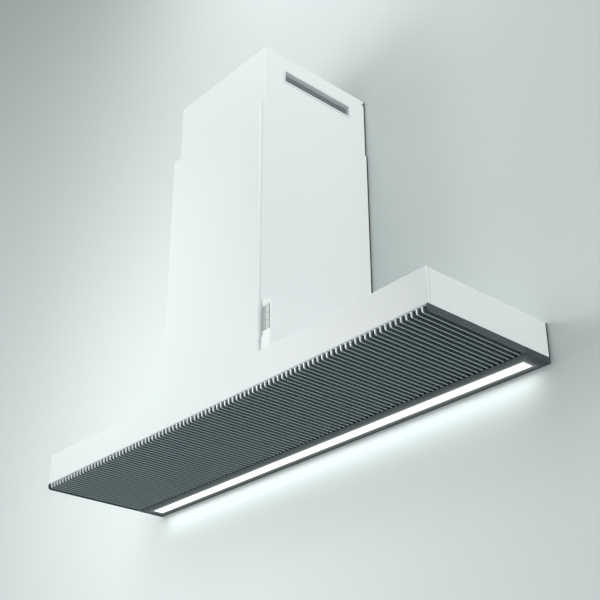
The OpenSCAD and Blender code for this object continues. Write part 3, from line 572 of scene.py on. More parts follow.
smoked_plastic = moulded(
    "smoked_plastic", (0.20, 0.235, 0.235), drift=0.08, roughness=0.3, grain=1500.0, bump=0.05)
pad_grey = moulded(
    "pad_grey", (0.64, 0.70, 0.69), drift=0.05, roughness=0.4, grain=1500.0, bump=0.08)
board_green = spangled(
    "board_green", (0.03, 0.20, 0.08), spread=0.2, roughness=0.35, crystals=320.0, bump=0.1)
board_white = spangled(
    "board_white", (0.85, 0.85, 0.80), spread=0.08, roughness=0.35, crystals=320.0, bump=0.1)
print("materials:", len(bpy.data.materials))

# %% [markdown]
# The opal cover of the light glows evenly, with a soft fall towards its edges and its two ends. The
# pattern goes to the emission colour, and the strength is one number on the shader.

# %% Opal cover
GLOW_STRENGTH = 1.5
EDGE_LEVEL = 0.42
EDGE_SOFTNESS = mm(6.5)
# The light bar's paint glows round the strip: a painted glow, an emission in the paint itself.
PAINTED_GLOW_LEVEL = 0.28
PAINTED_GLOW_REACH = mm(4.5)
GLOW_COLOUR = grey(0.96, 1.0, 0.99)
strip_low, strip_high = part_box("led_diffuser")


def past_edge(tree, axis, low, high):
    """How far a coordinate lies past the nearer of two limits, below zero between them."""
    centred = math_node(tree, "SUBTRACT", axis, (low + high) / 2)
    return math_node(tree, "SUBTRACT", math_node(tree, "ABSOLUTE", centred), (high - low) / 2)


def past_strip(tree):
    """How far a point lies outside the strip's outline, below zero inside it."""
    place_at = split_place(tree)
    across = past_edge(tree, place_at["Y"], strip_low.y, strip_high.y)
    along = past_edge(tree, place_at["X"], strip_low.x, strip_high.x)
    return math_node(tree, "MAXIMUM", across, along)


def tinted(tree, colour, level):
    """A colour scaled by a level."""
    scaled = new_node(tree, "ShaderNodeVectorMath", operation="SCALE")
    link(tree, colour, scaled.inputs[0])
    link(tree, level, scaled.inputs["Scale"])
    return scaled.outputs[0]


def build_strip_glow():
    """Brightness of the cover: full along its middle and lower towards its edges and ends."""
    tree, given, out = effect_group(
        "StripGlow",
        [("Colour", "Color", (1, 1, 1, 1)), ("Edge Level", "Float", 0.5), ("Softness", "Float", 0.006)],
        [("Glow", "Color"), ("Height", "Float")])
    inside = math_node(tree, "MULTIPLY", past_strip(tree), -1.0)
    rise = math_node(tree, "DIVIDE", inside, given["Softness"], clamp=True)
    room = math_node(tree, "SUBTRACT", 1.0, given["Edge Level"])
    level = math_node(tree, "ADD", math_node(tree, "MULTIPLY", rise, room), given["Edge Level"])
    link(tree, tinted(tree, given["Colour"], level), out["Glow"])
    link(tree, noise_at(tree, object_place(tree), 900.0, 2.0, 0.5), out["Height"])
    return tree


def build_painted_glow():
    """A painted glow round the strip: emission in the paint itself, on faces that look down."""
    tree, given, out = effect_group(
        "PaintedGlow",
        [("Colour", "Color", (1, 1, 1, 1)), ("Level", "Float", 0.2), ("Reach", "Float", 0.005)],
        [("Glow", "Color")])
    away = math_node(tree, "MAXIMUM", past_strip(tree), 0.0)
    lengths = math_node(tree, "DIVIDE", math_node(tree, "MULTIPLY", away, -1.0), given["Reach"])
    faded = math_node(tree, "EXPONENT", lengths)
    lit = math_node(tree, "MULTIPLY", faded, facing_share(tree, DOWN))
    level = math_node(tree, "MULTIPLY", lit, given["Level"])
    link(tree, tinted(tree, given["Colour"], level), out["Glow"])
    return tree


def make_opal():
    values = {"Colour": GLOW_COLOUR, "Edge Level": EDGE_LEVEL, "Softness": EDGE_SOFTNESS}
    material, tree, shader, group = bare_material("opal_cover", build_strip_glow(), values)
    link(tree, group.outputs["Glow"], shader.inputs["Base Color"])
    link(tree, group.outputs["Glow"], shader.inputs["Emission Color"])
    bump_shader(tree, shader, group.outputs["Height"], 0.05, mm(0.3))
    shader.inputs["Roughness"].default_value = 0.45
    shader.inputs["Emission Strength"].default_value = GLOW_STRENGTH
    return material


def make_bar_paint():
    """The dark paint of the light bar, with a painted glow round the strip."""
    material = coated("bar_paint", (0.020, 0.035, 0.038), cloud=0.10, roughness=0.55, peel=800.0,
                      dust=0.14, bump=0.08, Specular_IOR_Level=0.35, Emission_Strength=1.0)
    tree = material.node_tree
    shader = find_node(tree, "BSDF_PRINCIPLED")
    painted_glow = new_node(tree, "ShaderNodeGroup", node_tree=build_painted_glow())
    painted_glow.inputs["Colour"].default_value = GLOW_COLOUR
    painted_glow.inputs["Level"].default_value = PAINTED_GLOW_LEVEL
    painted_glow.inputs["Reach"].default_value = PAINTED_GLOW_REACH
    link(tree, painted_glow.outputs["Glow"], shader.inputs["Emission Color"])
    return material


bar_paint = make_bar_paint()
opal_cover = make_opal()

# %% [markdown]
# ## CAD nodes that keep their shape
# Many parts are right as they are. They get their finish and a small rounding on every sharp edge. The
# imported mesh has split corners, so a weld comes before the bevel. Both are modifiers: the CAD mesh
# itself is never changed.

# %% Dress the carried CAD nodes
MATERIAL_OF_SLOT = dict(FINISHES, key_grey=key_rubber)
MATERIAL_OF_NODE = {
    "light_housing": bar_paint, "grille_side_screws": dark_screw, "grille_hinge_pins": dark_screw,
    "hinge_brackets": dark_paint,
}
EDGE_MM = {
    "light_housing": 0.4, "grille_side_left": 0.6, "grille_side_right": 0.6, "grille_rails": 0.6,
    "filter_frame_left": 0.4, "filter_frame_middle": 0.4, "filter_frame_right": 0.4, "motor": 1.5,
    "control_box": 0.8, "control_cover": 0.6, "led_driver": 1.2, "grille_catches": 1.0,
    "panel_screws": 0.4, "bracket_screws": 0.35, "blower_screws": 0.4,
}
DEFAULT_EDGE_MM = 0.25


def dress(node_name, slot_name):
    """Gives a CAD node its material and rounded edges."""
    obj = nodes[node_name]
    obj.data.materials.clear()
    obj.data.materials.append(MATERIAL_OF_NODE.get(node_name, MATERIAL_OF_SLOT[slot_name]))
    weld = obj.modifiers.new("weld", "WELD")
    weld.merge_threshold = mm(0.005)
    bevel = obj.modifiers.new("edges", "BEVEL")
    bevel.width = mm(EDGE_MM.get(node_name, DEFAULT_EDGE_MM))
    bevel.segments = 2
    bevel.limit_method = "ANGLE"
    bevel.angle_limit = math.radians(40)
    bevel.harden_normals = True


for part in frame["record"]["subparts"]:
    dress(part["node"], part["material_slot"])

# %% [markdown]
# ## The front tray
# The canopy's front and the lower chimney's front are one sheet, cut as a T and folded back a few
# millimetres all round. A press brake leaves a rounded fold, which is what draws the soft light line
# down each edge. The T outline is carried along the fold's profile: flat face, quarter round, return,
# cut edge, and back inside.

# %% Build the front tray
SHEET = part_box("back_plate")[1].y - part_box("back_plate")[0].y
FOLD_RADIUS = mm(2.0)
CUT_EDGE = mm(0.25)
tray_low, tray_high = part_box("front_panel")
chimney_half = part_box("chimney_side_right")[1].x
shell_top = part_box("canopy_side_right")[1].z


def tray_outline():
    """The T as points (x, z), anticlockwise."""
    w, c = tray_high.x, chimney_half
    return [Vector(p) for p in ((-w, tray_low.z), (w, tray_low.z), (w, shell_top), (c, shell_top),
                                (c, tray_high.z), (-c, tray_high.z), (-c, shell_top), (-w, shell_top))]


def tray_profile(depth):
    """The fold's profile as (inward, back) pairs, from the front face round to the inside."""
    outer = quarter(FOLD_RADIUS, 6)
    edge = [(0.0, depth - CUT_EDGE), (CUT_EDGE, depth), (SHEET - CUT_EDGE, depth),
            (SHEET, depth - CUT_EDGE)]
    inner = [(SHEET + a, SHEET + b) for a, b in quarter(FOLD_RADIUS - SHEET, 3, outer=False)]
    return outer + edge + inner


def build_front_tray():
    bm = bmesh.new()
    rings = [[Vector((p.x, tray_low.y + back, p.y)) for p in offset_outline(tray_outline(), inward)]
             for inward, back in tray_profile(tray_high.y - tray_low.y)]
    loft(bm, rings, cap_start=True, cap_end=True)
    return even_normals(finished("front_tray", bm))


place(build_front_tray(), "hood", white_paint, ["front_panel"])

# %% [markdown]
# ## The sliding chimney
# The upper chimney is a U of sheet with the same rounded folds. Its outline is drawn once as an open
# strip with thickness, stood up along Z, and the two vent openings are cut out of its sides.

# %% Build the upper chimney
duct_low, duct_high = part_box("upper_chimney")
vent_low, vent_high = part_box("vent_grille_right")
VENT_RIM = mm(4.0)
VENT_WALL = mm(1.5)
VENT_PLAY = mm(0.3)
VENT_CORNER = mm(5.0)
vent_centre = (vent_low + vent_high) / 2
vent_length = vent_high.y - vent_low.y - 2 * VENT_RIM
vent_height = vent_high.z - vent_low.z - 2 * VENT_RIM


def u_section():
    """Closed outline of the U's sheet in (x, y): round the outside, then back along the inside."""
    outside, inside = [], []
    for sx in (-1, 1):
        corner = Vector((sx * (duct_high.x - FOLD_RADIUS), duct_low.y + FOLD_RADIUS))
        turns = range(7) if sx < 0 else range(6, -1, -1)
        for k in turns:
            a = math.radians(90 * k / 6)
            direction = Vector((sx * math.cos(a), -math.sin(a)))
            outside.append(corner + FOLD_RADIUS * direction)
            inside.append(corner + (FOLD_RADIUS - SHEET) * direction)
    rear = duct_high.y
    outside = [Vector((-duct_high.x, rear))] + outside + [Vector((duct_high.x, rear))]
    inside = [Vector((-duct_high.x + SHEET, rear))] + inside + [Vector((duct_high.x - SHEET, rear))]
    return outside + list(reversed(inside))


def vent_ring(side, outline, out_by):
    """An outline round the vent's centre, laid that far outside the chimney's side."""
    return [Vector((side * (duct_high.x + out_by), vent_centre.y + p.x, vent_centre.z + p.y))
            for p in outline]


def vent_cutter(side):
    bm = bmesh.new()
    wide = 2 * (VENT_WALL + VENT_PLAY)
    outline = round_outline(vent_length + wide, vent_height + wide, VENT_CORNER)
    rings = [vent_ring(side, outline, out_by) for out_by in (-5 * SHEET, 5 * SHEET)]
    loft(bm, rings, cap_start=True, cap_end=True)
    return finished("cutter", bm)


def build_upper_chimney():
    bm = bmesh.new()
    stand_up(bm, u_section(), duct_low.z, duct_high.z)
    obj = finished("upper_chimney_skin", bm)
    for side in (-1, 1):
        cut_away(obj, vent_cutter(side))
    soften(obj.data)
    return even_normals(obj)


place(build_upper_chimney(), "upper_section", white_paint, ["upper_chimney"])

# %% [markdown]
# ## Shadow-gap strips
# The side sheets end a little before the wall. A strip of black rubber sits over each rear edge and closes
# the gap; its fine dark line down the chimney and the canopy is painted shade, standing in for the shadow
# in the gap to the wall. Its section is a small lip over the sheet's outer face and a rounded pad behind
# the cut edge. One section is carried up each edge.

# %% Build the shadow-gap strips
GAP_STRIP_LAP = mm(0.9)
GAP_STRIP_PROUD = mm(0.06)
GAP_STRIP_INWARD = mm(2.2)
GAP_STRIP_OFF_WALL = mm(0.3)
GAP_STRIP_SOFT = mm(0.5)


def shadow_gap_section(face_x, edge_y, side):
    """Closed outline in (x, y): lip outside the sheet, round pad behind its edge."""
    outer = face_x + GAP_STRIP_PROUD
    inner = face_x - GAP_STRIP_INWARD
    back = -GAP_STRIP_OFF_WALL
    soft = GAP_STRIP_SOFT
    points = [Vector((face_x, edge_y - GAP_STRIP_LAP)), Vector((outer, edge_y - GAP_STRIP_LAP + GAP_STRIP_PROUD))]
    points += arc_points((outer - soft, back - soft), soft, 0, 90, 4)
    points += arc_points((inner + soft, back - soft), soft, 90, 180, 4)
    points += [Vector((inner, edge_y)), Vector((face_x, edge_y))]
    return [Vector((side * p.x, p.y)) for p in points]


def build_shadow_gap_strips(name, node_name):
    """The trims of one panel pair: the node gives the face, the rear edge and the height."""
    low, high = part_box(node_name)
    bm = bmesh.new()
    for side in (-1, 1):
        stand_up(bm, shadow_gap_section(high.x, high.y, side), low.z, high.z)
    return even_normals(finished(name, bm))


# Each strip is black rubber that paints the shadow gap between the sheets and the wall.
for name, node_name, body in (("canopy_shadow_gap_strips", "canopy_side_right", "hood"),
                              ("chimney_shadow_gap_strips", "chimney_side_right", "hood"),
                              ("upper_chimney_shadow_gap_strips", "upper_chimney", "upper_section")):
    place(build_shadow_gap_strips(name, node_name), body, rubber_black)

# %% [markdown]
# ## Vent inserts
# Each insert is a moulded frame that clips into the opening: a thin rim over the sheet, a short tunnel,
# and slats set back in it. The frame is one outline carried along a profile, and the slats are slim
# rounded bars, tilted so that they hide the inside.

# %% Build the vent inserts
SLAT_COUNT = 4
SLAT_DEPTH = mm(5.0)
SLAT_THICKNESS = mm(1.2)
SLAT_TILT = math.radians(-35)
SLAT_SOFT = mm(0.4)
RIM_SOFT = mm(0.35)
SHADOW_LINE_SHOW = mm(0.7)
SHADOW_LINE_HEIGHT = mm(0.4)
rim_height = vent_high.x - duct_high.x
tunnel_depth = duct_high.x - vent_low.x


def vent_profile():
    """(inward from the rim's edge, height above the chimney's side) round the insert's wall."""
    soft = RIM_SOFT
    return [(VENT_RIM - VENT_WALL, 0.0), (0.0, 0.0), (0.0, rim_height - soft), (soft, rim_height),
            (VENT_RIM - soft, rim_height), (VENT_RIM, rim_height - soft), (VENT_RIM, -tunnel_depth),
            (VENT_RIM - VENT_WALL, -tunnel_depth)]


def carried_round_vent(name, side, profile):
    """A profile of (inward, out) pairs carried round the vent's outline on one side."""
    bm = bmesh.new()
    width, height = vent_high.y - vent_low.y, vent_high.z - vent_low.z
    corner = VENT_CORNER + VENT_RIM / 2
    rings = []
    for inward, out_by in profile:
        outline = round_outline(width - 2 * inward, height - 2 * inward, corner - inward)
        rings.append(vent_ring(side, outline, out_by))
    rings.append(rings[0])
    loft(bm, rings)
    bmesh.ops.remove_doubles(bm, verts=bm.verts, dist=WELD_DISTANCE)
    return finished(name, bm)


def build_vent_frame(name, side):
    return even_normals(carried_round_vent(name, side, vent_profile()))


def build_shadow_line_ring(name, side):
    """A thin foam ring round the rim's foot; its grey is painted shade, standing in for the shadow line
    where the rim meets the sheet.
    """
    under = VENT_RIM / 4
    return carried_round_vent(name, side, [
        (under, 0.0), (-SHADOW_LINE_SHOW, 0.0), (-SHADOW_LINE_SHOW, SHADOW_LINE_HEIGHT * 0.6),
        (-SHADOW_LINE_SHOW * 0.7, SHADOW_LINE_HEIGHT), (under, SHADOW_LINE_HEIGHT)])


def build_slats(name, side):
    bm = bmesh.new()
    pitch = vent_height / (SLAT_COUNT + 1)
    x = vent_low.x + SLAT_DEPTH / 2
    for i in range(SLAT_COUNT):
        part = bmesh.new()
        half = Vector((SLAT_DEPTH, vent_length + VENT_WALL, SLAT_THICKNESS)) / 2
        round_block(part, -half, half, SLAT_SOFT)
        part.transform(Matrix.Rotation(SLAT_TILT, 4, "Y"))
        z = vent_centre.z - vent_height / 2 + (i + 1) * pitch
        part.transform(Matrix.Translation((x, vent_centre.y, z)))
        if side < 0:
            part.transform(Matrix.Scale(-1, 4, (1, 0, 0)))
        temp = bpy.data.meshes.new("slat")
        part.to_mesh(temp)
        part.free()
        bm.from_mesh(temp)
        bpy.data.meshes.remove(temp)
    return finished(name, bm)


for side, word in ((-1, "left"), (1, "right")):
    place(build_vent_frame(f"vent_frame_{word}", side), "upper_section", vent_plastic,
          [f"vent_grille_{word}"])
    place(build_shadow_line_ring(f"vent_shadow_line_{word}", side), "upper_section", shadow_line_grey)
    place(build_slats(f"vent_slats_{word}", side), "upper_section", slat_plastic)

# %% [markdown]
# ## The fins
# The grille is a row of aluminium fins. What the eye reads is their rounded edges: the front ends catch
# the room's light and the lower edges catch the floor's. One fin is drawn as an outline with round lower
# corners, given thickness and a rounded edge, and repeated at an even pitch.

# %% Painted highlight on the fins' front ends
# The paler colour is a painted highlight on the fins' front ends, not a different metal.
FRONT_HIGHLIGHT_COLOUR = grey(0.74, 0.80, 0.80)
FRONT_HIGHLIGHT_DEPTH = mm(2.2)


def paint_front_highlight():
    """Paints a highlight into the fins' colour along their front ends: a paler band that stands in for the
    light they catch.
    """
    tree = fin_metal.node_tree
    shader = find_node(tree, "BSDF_PRINCIPLED")
    drawn = shader.inputs["Base Color"].links[0].from_socket
    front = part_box("grille_fins")[0].y
    band = new_node(tree, "ShaderNodeMapRange", interpolation_type="SMOOTHSTEP")
    link(tree, split_place(tree)["Y"], band.inputs["Value"])
    for label, value in (("From Min", front + FRONT_HIGHLIGHT_DEPTH), ("From Max", front + 1.5 * FRONT_HIGHLIGHT_DEPTH),
                         ("To Min", 1.0), ("To Max", 0.0)):
        band.inputs[label].default_value = value
    link(tree, mix_colour(tree, band.outputs["Result"], drawn, FRONT_HIGHLIGHT_COLOUR), shader.inputs["Base Color"])


paint_front_highlight()

# %% Build the fins
FIN_COUNT = 99
FIN_FRONT_RADIUS = mm(4.5)
FIN_REAR_RADIUS = mm(1.6)
FIN_EDGE = mm(0.9)
FIN_TOP_DROP = mm(1.2)
FIN_SHARP_DEG = 40
side_low, side_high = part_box("grille_side_right")
fin_thickness = side_high.x - side_low.x
fin_pitch = (2 * side_high.x - fin_thickness) / (FIN_COUNT - 1)


def fin_outline():
    """Outline in (y, z), from the top rear corner down and round to the top front."""
    front, rear, low, top = side_low.y, side_high.y, side_low.z, side_high.z - FIN_TOP_DROP
    rear_centre = (rear - FIN_REAR_RADIUS, low + FIN_REAR_RADIUS)
    front_centre = (front + FIN_FRONT_RADIUS, low + FIN_FRONT_RADIUS)
    return [Vector((rear, top)),
            *arc_points(rear_centre, FIN_REAR_RADIUS, 0, -90, 4),
            *arc_points(front_centre, FIN_FRONT_RADIUS, -90, -180, 8),
            Vector((front, top))]


def inset_outline(points, inward):
    """Moves each point of a smooth outline inward along its own corner's bisector."""
    moved = []
    for i, point in enumerate(points):
        before = (point - points[i - 1]).normalized()
        after = (points[(i + 1) % len(points)] - point).normalized()
        normal = (Vector((before.y, -before.x)) + Vector((after.y, -after.x))).normalized()
        share = max(0.5, normal.dot(Vector((after.y, -after.x))))
        moved.append(point - normal * inward / share)
    return moved


def build_fins():
    outline = fin_outline()
    clockwise = sum((b.x - a.x) * (b.y + a.y) for a, b in zip(outline, outline[1:] + outline[:1])) > 0
    if clockwise:
        outline.reverse()
    bm = bmesh.new()
    arc = quarter(FIN_EDGE, 3)
    profile = arc + [(inward, fin_thickness - across) for inward, across in reversed(arc)]
    for index in range(1, FIN_COUNT - 1):
        x0 = -side_high.x + index * fin_pitch
        rings = [[Vector((x0 + across, p.x, p.y)) for p in inset_outline(outline, inward)]
                 for inward, across in profile]
        loft(bm, rings, cap_start=True, cap_end=True)
    return even_normals(finished("fins", bm, FIN_SHARP_DEG))


place(build_fins(), "grille", fin_metal, ["grille_fins"])
print("fin pitch, mm:", round(fin_pitch * 1000, 3))

# %% [markdown]
# ## The light's opal cover
# A long strip with softly rounded edges, level with the light bar's lower face.

# %% Build the opal cover
OPAL_SOFT = mm(0.6)
OPAL_CORNER = mm(1.2)


def build_opal_strip():
    low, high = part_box("led_diffuser")
    bm = bmesh.new()
    centre = (low + high) / 2
    width, depth = high.x - low.x, high.y - low.y
    levels = [(inward, low.z + down) for inward, down in quarter(OPAL_SOFT, 4)] + [(0.0, high.z)]
    rings = []
    for inward, z in levels:
        outline = round_outline(width - 2 * inward, depth - 2 * inward, OPAL_CORNER - inward)
        rings.append([Vector((centre.x + p.x, centre.y + p.y, z)) for p in outline])
    loft(bm, rings, cap_start=True, cap_end=True)
    return even_normals(finished("opal_strip", bm))


place(build_opal_strip(), "hood", opal_cover, ["led_diffuser"])

# %% [markdown]
# ## Grease filters
# Between the cassette frames sits a pack of expanded aluminium. It is drawn as a lattice of diamonds on
# a gently waved sheet, one layer near the top and one near the bottom, and a wireframe modifier turns
# the lattice's lines into flat strands.

# %% Build the filter packs
DIAMOND_LONG = mm(12.0)
DIAMOND_SHORT = mm(6.5)
STRAND = mm(1.0)
WAVE_LENGTH = mm(24.0)
WAVE_HEIGHT = mm(1.1)


def lattice_layer(bm, low, high, z):
    """Diamond faces over a rectangle, on a waved sheet at height z."""
    across = int((high.x - low.x) / DIAMOND_LONG)
    along = int((high.y - low.y) / DIAMOND_SHORT)
    step_x = (high.x - low.x) / across
    step_y = (high.y - low.y) / along
    points = {}

    def corner(i, j):
        if (i, j) not in points:
            x, y = low.x + i * step_x / 2, low.y + j * step_y / 2
            wave = WAVE_HEIGHT * math.sin(2 * math.pi * x / WAVE_LENGTH)
            points[i, j] = bm.verts.new((x, y, z + wave))
        return points[i, j]

    for i in range(1, 2 * across):
        for j in range(1, 2 * along):
            if (i + j) % 2 == 0:
                bm.faces.new((corner(i - 1, j), corner(i, j - 1), corner(i + 1, j), corner(i, j + 1)))


def build_filter_pack(word):
    low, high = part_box(f"filter_mesh_{word}")
    bm = bmesh.new()
    inset = WAVE_HEIGHT + STRAND
    for z in (low.z + inset, high.z - inset):
        lattice_layer(bm, low, high, z)
    obj = finished(f"filter_pack_{word}", bm)
    strands = obj.modifiers.new("strands", "WIREFRAME")
    strands.thickness = STRAND
    strands.use_even_offset = False
    strands.use_boundary = True
    return obj


for word in ("left", "middle", "right"):
    place(build_filter_pack(word), f"filter_{word}", filter_weave,
          [f"filter_mesh_{word}"])

# %% [markdown]
# ## The remote
# A slim handset stands in a holder beside the chimney. Its two shells meet in a fine seam. The front
# shell has a sunk window with a grey keypad: two columns of dark keys and a paler strip with two small
# lamps. The shells are outlines carried along a rounded profile.

# %% Build the handset's shells
SHELL_SOFT = mm(1.8)
SHELL_WALL = mm(1.2)
HANDSET_CORNER = mm(4.0)
shell_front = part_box("handset_front")
shell_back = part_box("handset_back")
handset_centre = (shell_front[0] + shell_front[1]) / 2
handset_w = shell_front[1].x - shell_front[0].x
handset_h = shell_front[1].z - shell_front[0].z


def handset_ring(inward, y):
    outline = round_outline(handset_w - 2 * inward, handset_h - 2 * inward, HANDSET_CORNER - inward, 8)
    return [Vector((handset_centre.x + p.x, y, handset_centre.z + p.y)) for p in outline]


def shell_rings(face_y, seam_y):
    """Rings from the middle of the face, over its rounded edge, to the seam and back inside."""
    into = 1 if seam_y > face_y else -1
    rings = [handset_ring(inward, face_y + into * down) for inward, down in quarter(SHELL_SOFT, 5)]
    rings += [handset_ring(0.0, seam_y), handset_ring(SHELL_WALL, seam_y),
              handset_ring(SHELL_WALL, face_y + into * SHELL_WALL)]
    return rings


def window_cutter(low, high):
    bm = bmesh.new()
    round_block(bm, low, high, mm(0.5), 3)
    return finished("cutter", bm)


WINDOW_SIDE = mm(1.3)
WINDOW_MARGIN = mm(1.5)
WINDOW_OFFSET = mm(0.3)
key_boxes = [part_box(f"key_{i}") for i in range(1, 7)]
keys_low_z = min(b[0].z for b in key_boxes)
keys_high_z = max(b[1].z for b in key_boxes)
window_low = Vector((shell_front[0].x + WINDOW_SIDE, shell_front[0].y - mm(1),
                     keys_low_z - WINDOW_MARGIN))
window_high = Vector((shell_front[1].x - WINDOW_SIDE + WINDOW_OFFSET, shell_front[1].y,
                      keys_high_z + WINDOW_MARGIN))


def build_shell(name, face_y, seam_y, with_window):
    bm = bmesh.new()
    loft(bm, shell_rings(face_y, seam_y), cap_start=True, cap_end=True)
    obj = finished(name, bm)
    if with_window:
        cut_away(obj, window_cutter(window_low, window_high))
        soften(obj.data)
    return even_normals(obj)


place(build_shell("handset_face", shell_front[0].y, shell_front[1].y, True), "handset", remote_white,
      ["handset_front"])
place(build_shell("handset_rear", shell_back[1].y, shell_back[0].y, False), "handset", remote_white,
      ["handset_back"])

# %% Build the keypad: keys with softly crowned tops, and the lamp strip
KEY_CROWN = mm(0.15)
KEY_SOFT = mm(0.35)


def build_key(name, low, high):
    """A key cap: a rounded block whose face swells a little towards its middle."""
    bm = bmesh.new()
    round_block(bm, low, high, KEY_SOFT, 3)
    bmesh.ops.subdivide_edges(bm, edges=[e for e in bm.edges if e.calc_length() > mm(2)], cuts=5,
                              use_grid_fill=True)
    centre, half = (low + high) / 2, (high - low) / 2
    for v in bm.verts:
        if v.co.y < centre.y:
            across = max(0.0, 1 - ((v.co.x - centre.x) / half.x) ** 2)
            up = max(0.0, 1 - ((v.co.z - centre.z) / half.z) ** 2)
            v.co.y += KEY_CROWN * (1 - across * up)
    return even_normals(finished(name, bm))


for i, (low, high) in enumerate(key_boxes, start=1):
    place(build_key(f"key_cap_{i}", low, high), f"button_{i}", key_rubber, [f"key_{i}"])


strip_left = max(b[1].x for b in key_boxes) + mm(1.0)
strip_right = window_high.x - mm(3.0)
LAMP_HEIGHTS = (0.36, 0.68)
LAMP_HALF_WIDTH = mm(1.8)
LAMP_HALF_HEIGHT = mm(0.8)


def build_lamp_strip():
    """The paler strip beside the keys."""
    low = Vector((strip_left, shell_front[0].y + mm(0.35), keys_low_z))
    high = Vector((strip_right, shell_front[0].y + mm(0.9), keys_high_z))
    bm = bmesh.new()
    round_block(bm, low, high, mm(0.2))
    return finished("lamp_strip", bm)


def build_lamps_and_dark_bar():
    """Two small smoked lamps on the strip, and a dark bar along the window's right side."""
    bm = bmesh.new()
    middle = (strip_left + strip_right) / 2
    face = shell_front[0].y
    for share in LAMP_HEIGHTS:
        z = keys_low_z + share * (keys_high_z - keys_low_z)
        round_block(bm, (middle - LAMP_HALF_WIDTH, face + mm(0.15), z - LAMP_HALF_HEIGHT),
                    (middle + LAMP_HALF_WIDTH, face + mm(0.5), z + LAMP_HALF_HEIGHT), mm(0.15))
    round_block(bm, (strip_right + mm(0.3), face + mm(0.2), window_low.z + mm(0.3)),
                (window_high.x - mm(0.2), face + mm(1.2), window_high.z - mm(0.3)), mm(0.2))
    return finished("lamps_and_dark_bar", bm)


place(build_lamp_strip(), "handset", pad_grey)
place(build_lamps_and_dark_bar(), "handset", smoked_plastic)

# %% [markdown]
# ## Stage and light
# A pale floor lies well below the hood, and a pale wall stands behind it, because the hood hangs on a
# wall and its light washes over it. The wall shows only from the front and only to the camera, so it
# neither hides the hood's back from behind nor shades it.

# %% Build the stage
FLOOR_Z = -1.55
STAGE_SIZE = 14.0
WALL_Y = mm(0.6)
MIRROR_START = mm(60)


def plane(name, corners, material):
    mesh = bpy.data.meshes.new(name)
    mesh.from_pydata(corners, [], [(0, 1, 2, 3)])
    mesh.materials.append(material)
    obj = bpy.data.objects.new(name, mesh)
    bpy.context.scene.collection.objects.link(obj)
    return obj


def stage_material(name, colour, one_sided):
    material = coated(name, colour, cloud=0.03, roughness=0.8, peel=260.0, dust=0.0, bump=0.12,
                      bump_distance=mm(0.6), Specular_IOR_Level=0.2)
    if one_sided:
        tree = material.node_tree
        output = find_node(tree, "OUTPUT_MATERIAL")
        shader = find_node(tree, "BSDF_PRINCIPLED")
        path = new_node(tree, "ShaderNodeLightPath").outputs
        far = math_node(tree, "GREATER_THAN", path["Ray Length"], MIRROR_START)
        mirrored = math_node(tree, "MULTIPLY", path["Is Glossy Ray"], far)
        seen = math_node(tree, "MAXIMUM", path["Is Camera Ray"], mirrored)
        back = new_node(tree, "ShaderNodeNewGeometry").outputs["Backfacing"]
        shown = math_node(tree, "MULTIPLY", seen, math_node(tree, "SUBTRACT", 1.0, back))
        mixed = new_node(tree, "ShaderNodeMixShader")
        link(tree, shown, mixed.inputs[0])
        link(tree, new_node(tree, "ShaderNodeBsdfTransparent").outputs[0], mixed.inputs[1])
        link(tree, shader.outputs[0], mixed.inputs[2])
        link(tree, mixed.outputs[0], output.inputs["Surface"])
    return material


half = STAGE_SIZE / 2
plane("floor", [(-half, -STAGE_SIZE, FLOOR_Z), (half, -STAGE_SIZE, FLOOR_Z),
                (half, half, FLOOR_Z), (-half, half, FLOOR_Z)],
      stage_material("floor_pale", (0.74, 0.76, 0.76), False))
wall = plane("wall", [(-half, WALL_Y, FLOOR_Z), (half, WALL_Y, FLOOR_Z),
                      (half, WALL_Y, half), (-half, WALL_Y, half)],
             stage_material("wall_pale", (0.625, 0.69, 0.68), True))

# %% [markdown]
# The hood and the wall are lit apart, as a photographer would do with flags and barn doors: one set of
# soft lights reaches everything but the wall, and another reaches the wall alone. Blender does this by
# light linking: each light names a collection of the objects that it may or may not reach. The hood
# still casts its shadows on the wall.

# %% Lights
wall_only = bpy.data.collections.new("wall_only")
wall_only.objects.link(wall)
all_but_wall = bpy.data.collections.new("all_but_wall")
all_but_wall.objects.link(wall)
all_but_wall.collection_objects[0].light_linking.link_state = "EXCLUDE"


def soft_light(name, place_at, target, size, power, reaches):
    """A square area light that faces a target and reaches what its collection says."""
    data = bpy.data.lights.new(name, "AREA")
    data.shape = "SQUARE"
    data.size = size
    data.energy = power
    obj = bpy.data.objects.new(name, data)
    obj.location = place_at
    obj.rotation_euler = (Vector(target) - Vector(place_at)).to_track_quat("-Z", "Y").to_euler()
    obj.light_linking.receiver_collection = reaches
    bpy.context.scene.collection.objects.link(obj)


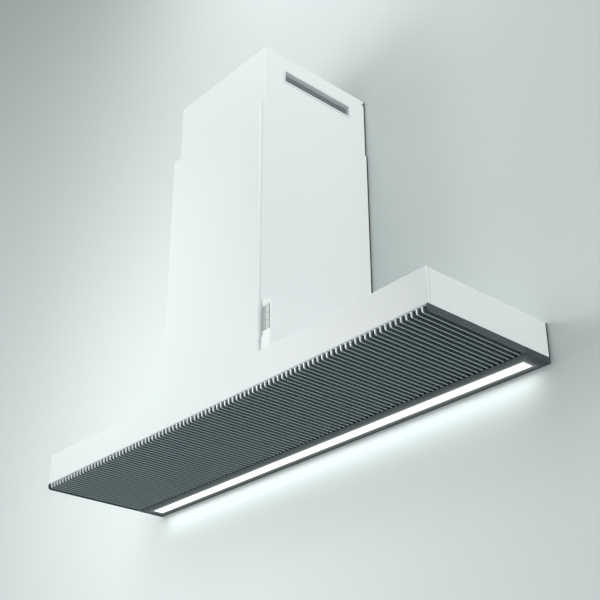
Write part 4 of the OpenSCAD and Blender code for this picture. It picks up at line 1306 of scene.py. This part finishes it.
HOOD_LIGHTS = [
    # name, place, target, size, power
    ("key_close", (-0.5, -1.25, 0.1), (-0.15, -0.3, 0.1), 0.7, 4.0),
    ("key_small", (-0.35, -1.05, 0.4), (-0.15, -0.3, 0.2), 0.5, 1.6),
    ("right_side", (3.0, -0.3, 0.1), (0.3, -0.1, 0.2), 1.2, 12.4),
    ("high_right", (1.7, -0.45, 1.3), (0.15, -0.15, 0.6), 1.0, 12.8),
    ("from_above", (0.0, -0.8, 2.2), (0.0, -0.3, 0.3), 1.6, 26.0),
    ("high_front", (-0.3, -0.9, 1.7), (-0.1, -0.1, 0.9), 0.8, 1.6),
    ("from_below", (0.1, -0.9, -1.2), (0.1, 0.0, -0.6), 1.0, 4.4),
    ("behind", (0.5, 3.2, 1.6), (0.0, 0.0, 0.3), 2.4, 30.0),
]
WALL_LIGHTS = [
    ("wall_front", (0.0, -3.5, 0.3), (0.0, 0.0, 0.2), 2.0, 20.0),
    ("wall_far_left", (-3.6, -1.6, 0.2), (-0.2, -0.2, 0.3), 2.2, 36.0),
    ("wall_high_left", (-2.0, -3.0, 1.4), (0.0, -0.2, 0.3), 2.0, 4.5),
    ("wall_close", (-0.8, -1.2, 0.25), (-0.2, -0.3, 0.15), 0.7, 7.6),
    ("wall_middle", (-0.35, -1.05, 0.4), (-0.15, -0.3, 0.2), 0.5, 2.6),
    ("wall_low", (0.1, -0.9, -1.2), (0.1, 0.0, -0.6), 1.0, 4.1),
    ("wall_top", (0.2, -0.5, 2.2), (0.1, 0.0, 0.9), 0.8, 13.3),
]
for row in HOOD_LIGHTS:
    soft_light(*row, reaches=all_but_wall)
for row in WALL_LIGHTS:
    soft_light(*row, reaches=wall_only)


WASH_POWER = 0.42
WORLD_STRENGTH = 0.45


def strip_wash():
    """The light that the strip throws down the wall, from a hidden source just under its cover."""
    low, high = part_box("led_diffuser")
    data = bpy.data.lights.new("strip_wash", "AREA")
    data.shape = "RECTANGLE"
    data.size = high.x - low.x
    data.size_y = high.y - low.y
    data.energy = WASH_POWER
    obj = bpy.data.objects.new("strip_wash", data)
    obj.location = ((low.x + high.x) / 2, (low.y + high.y) / 2, low.z - mm(2))
    obj.visible_camera = False
    bpy.context.scene.collection.objects.link(obj)


strip_wash()
world = bpy.data.worlds.new("soft_room")
world.use_nodes = True
sky = world.node_tree.nodes["Background"].inputs
sky["Color"].default_value = grey(0.83, 0.84, 0.84)
sky["Strength"].default_value = WORLD_STRENGTH
bpy.context.scene.world = world
bpy.context.scene.view_settings.view_transform = "Standard"
print("lights:", len(bpy.data.lights))
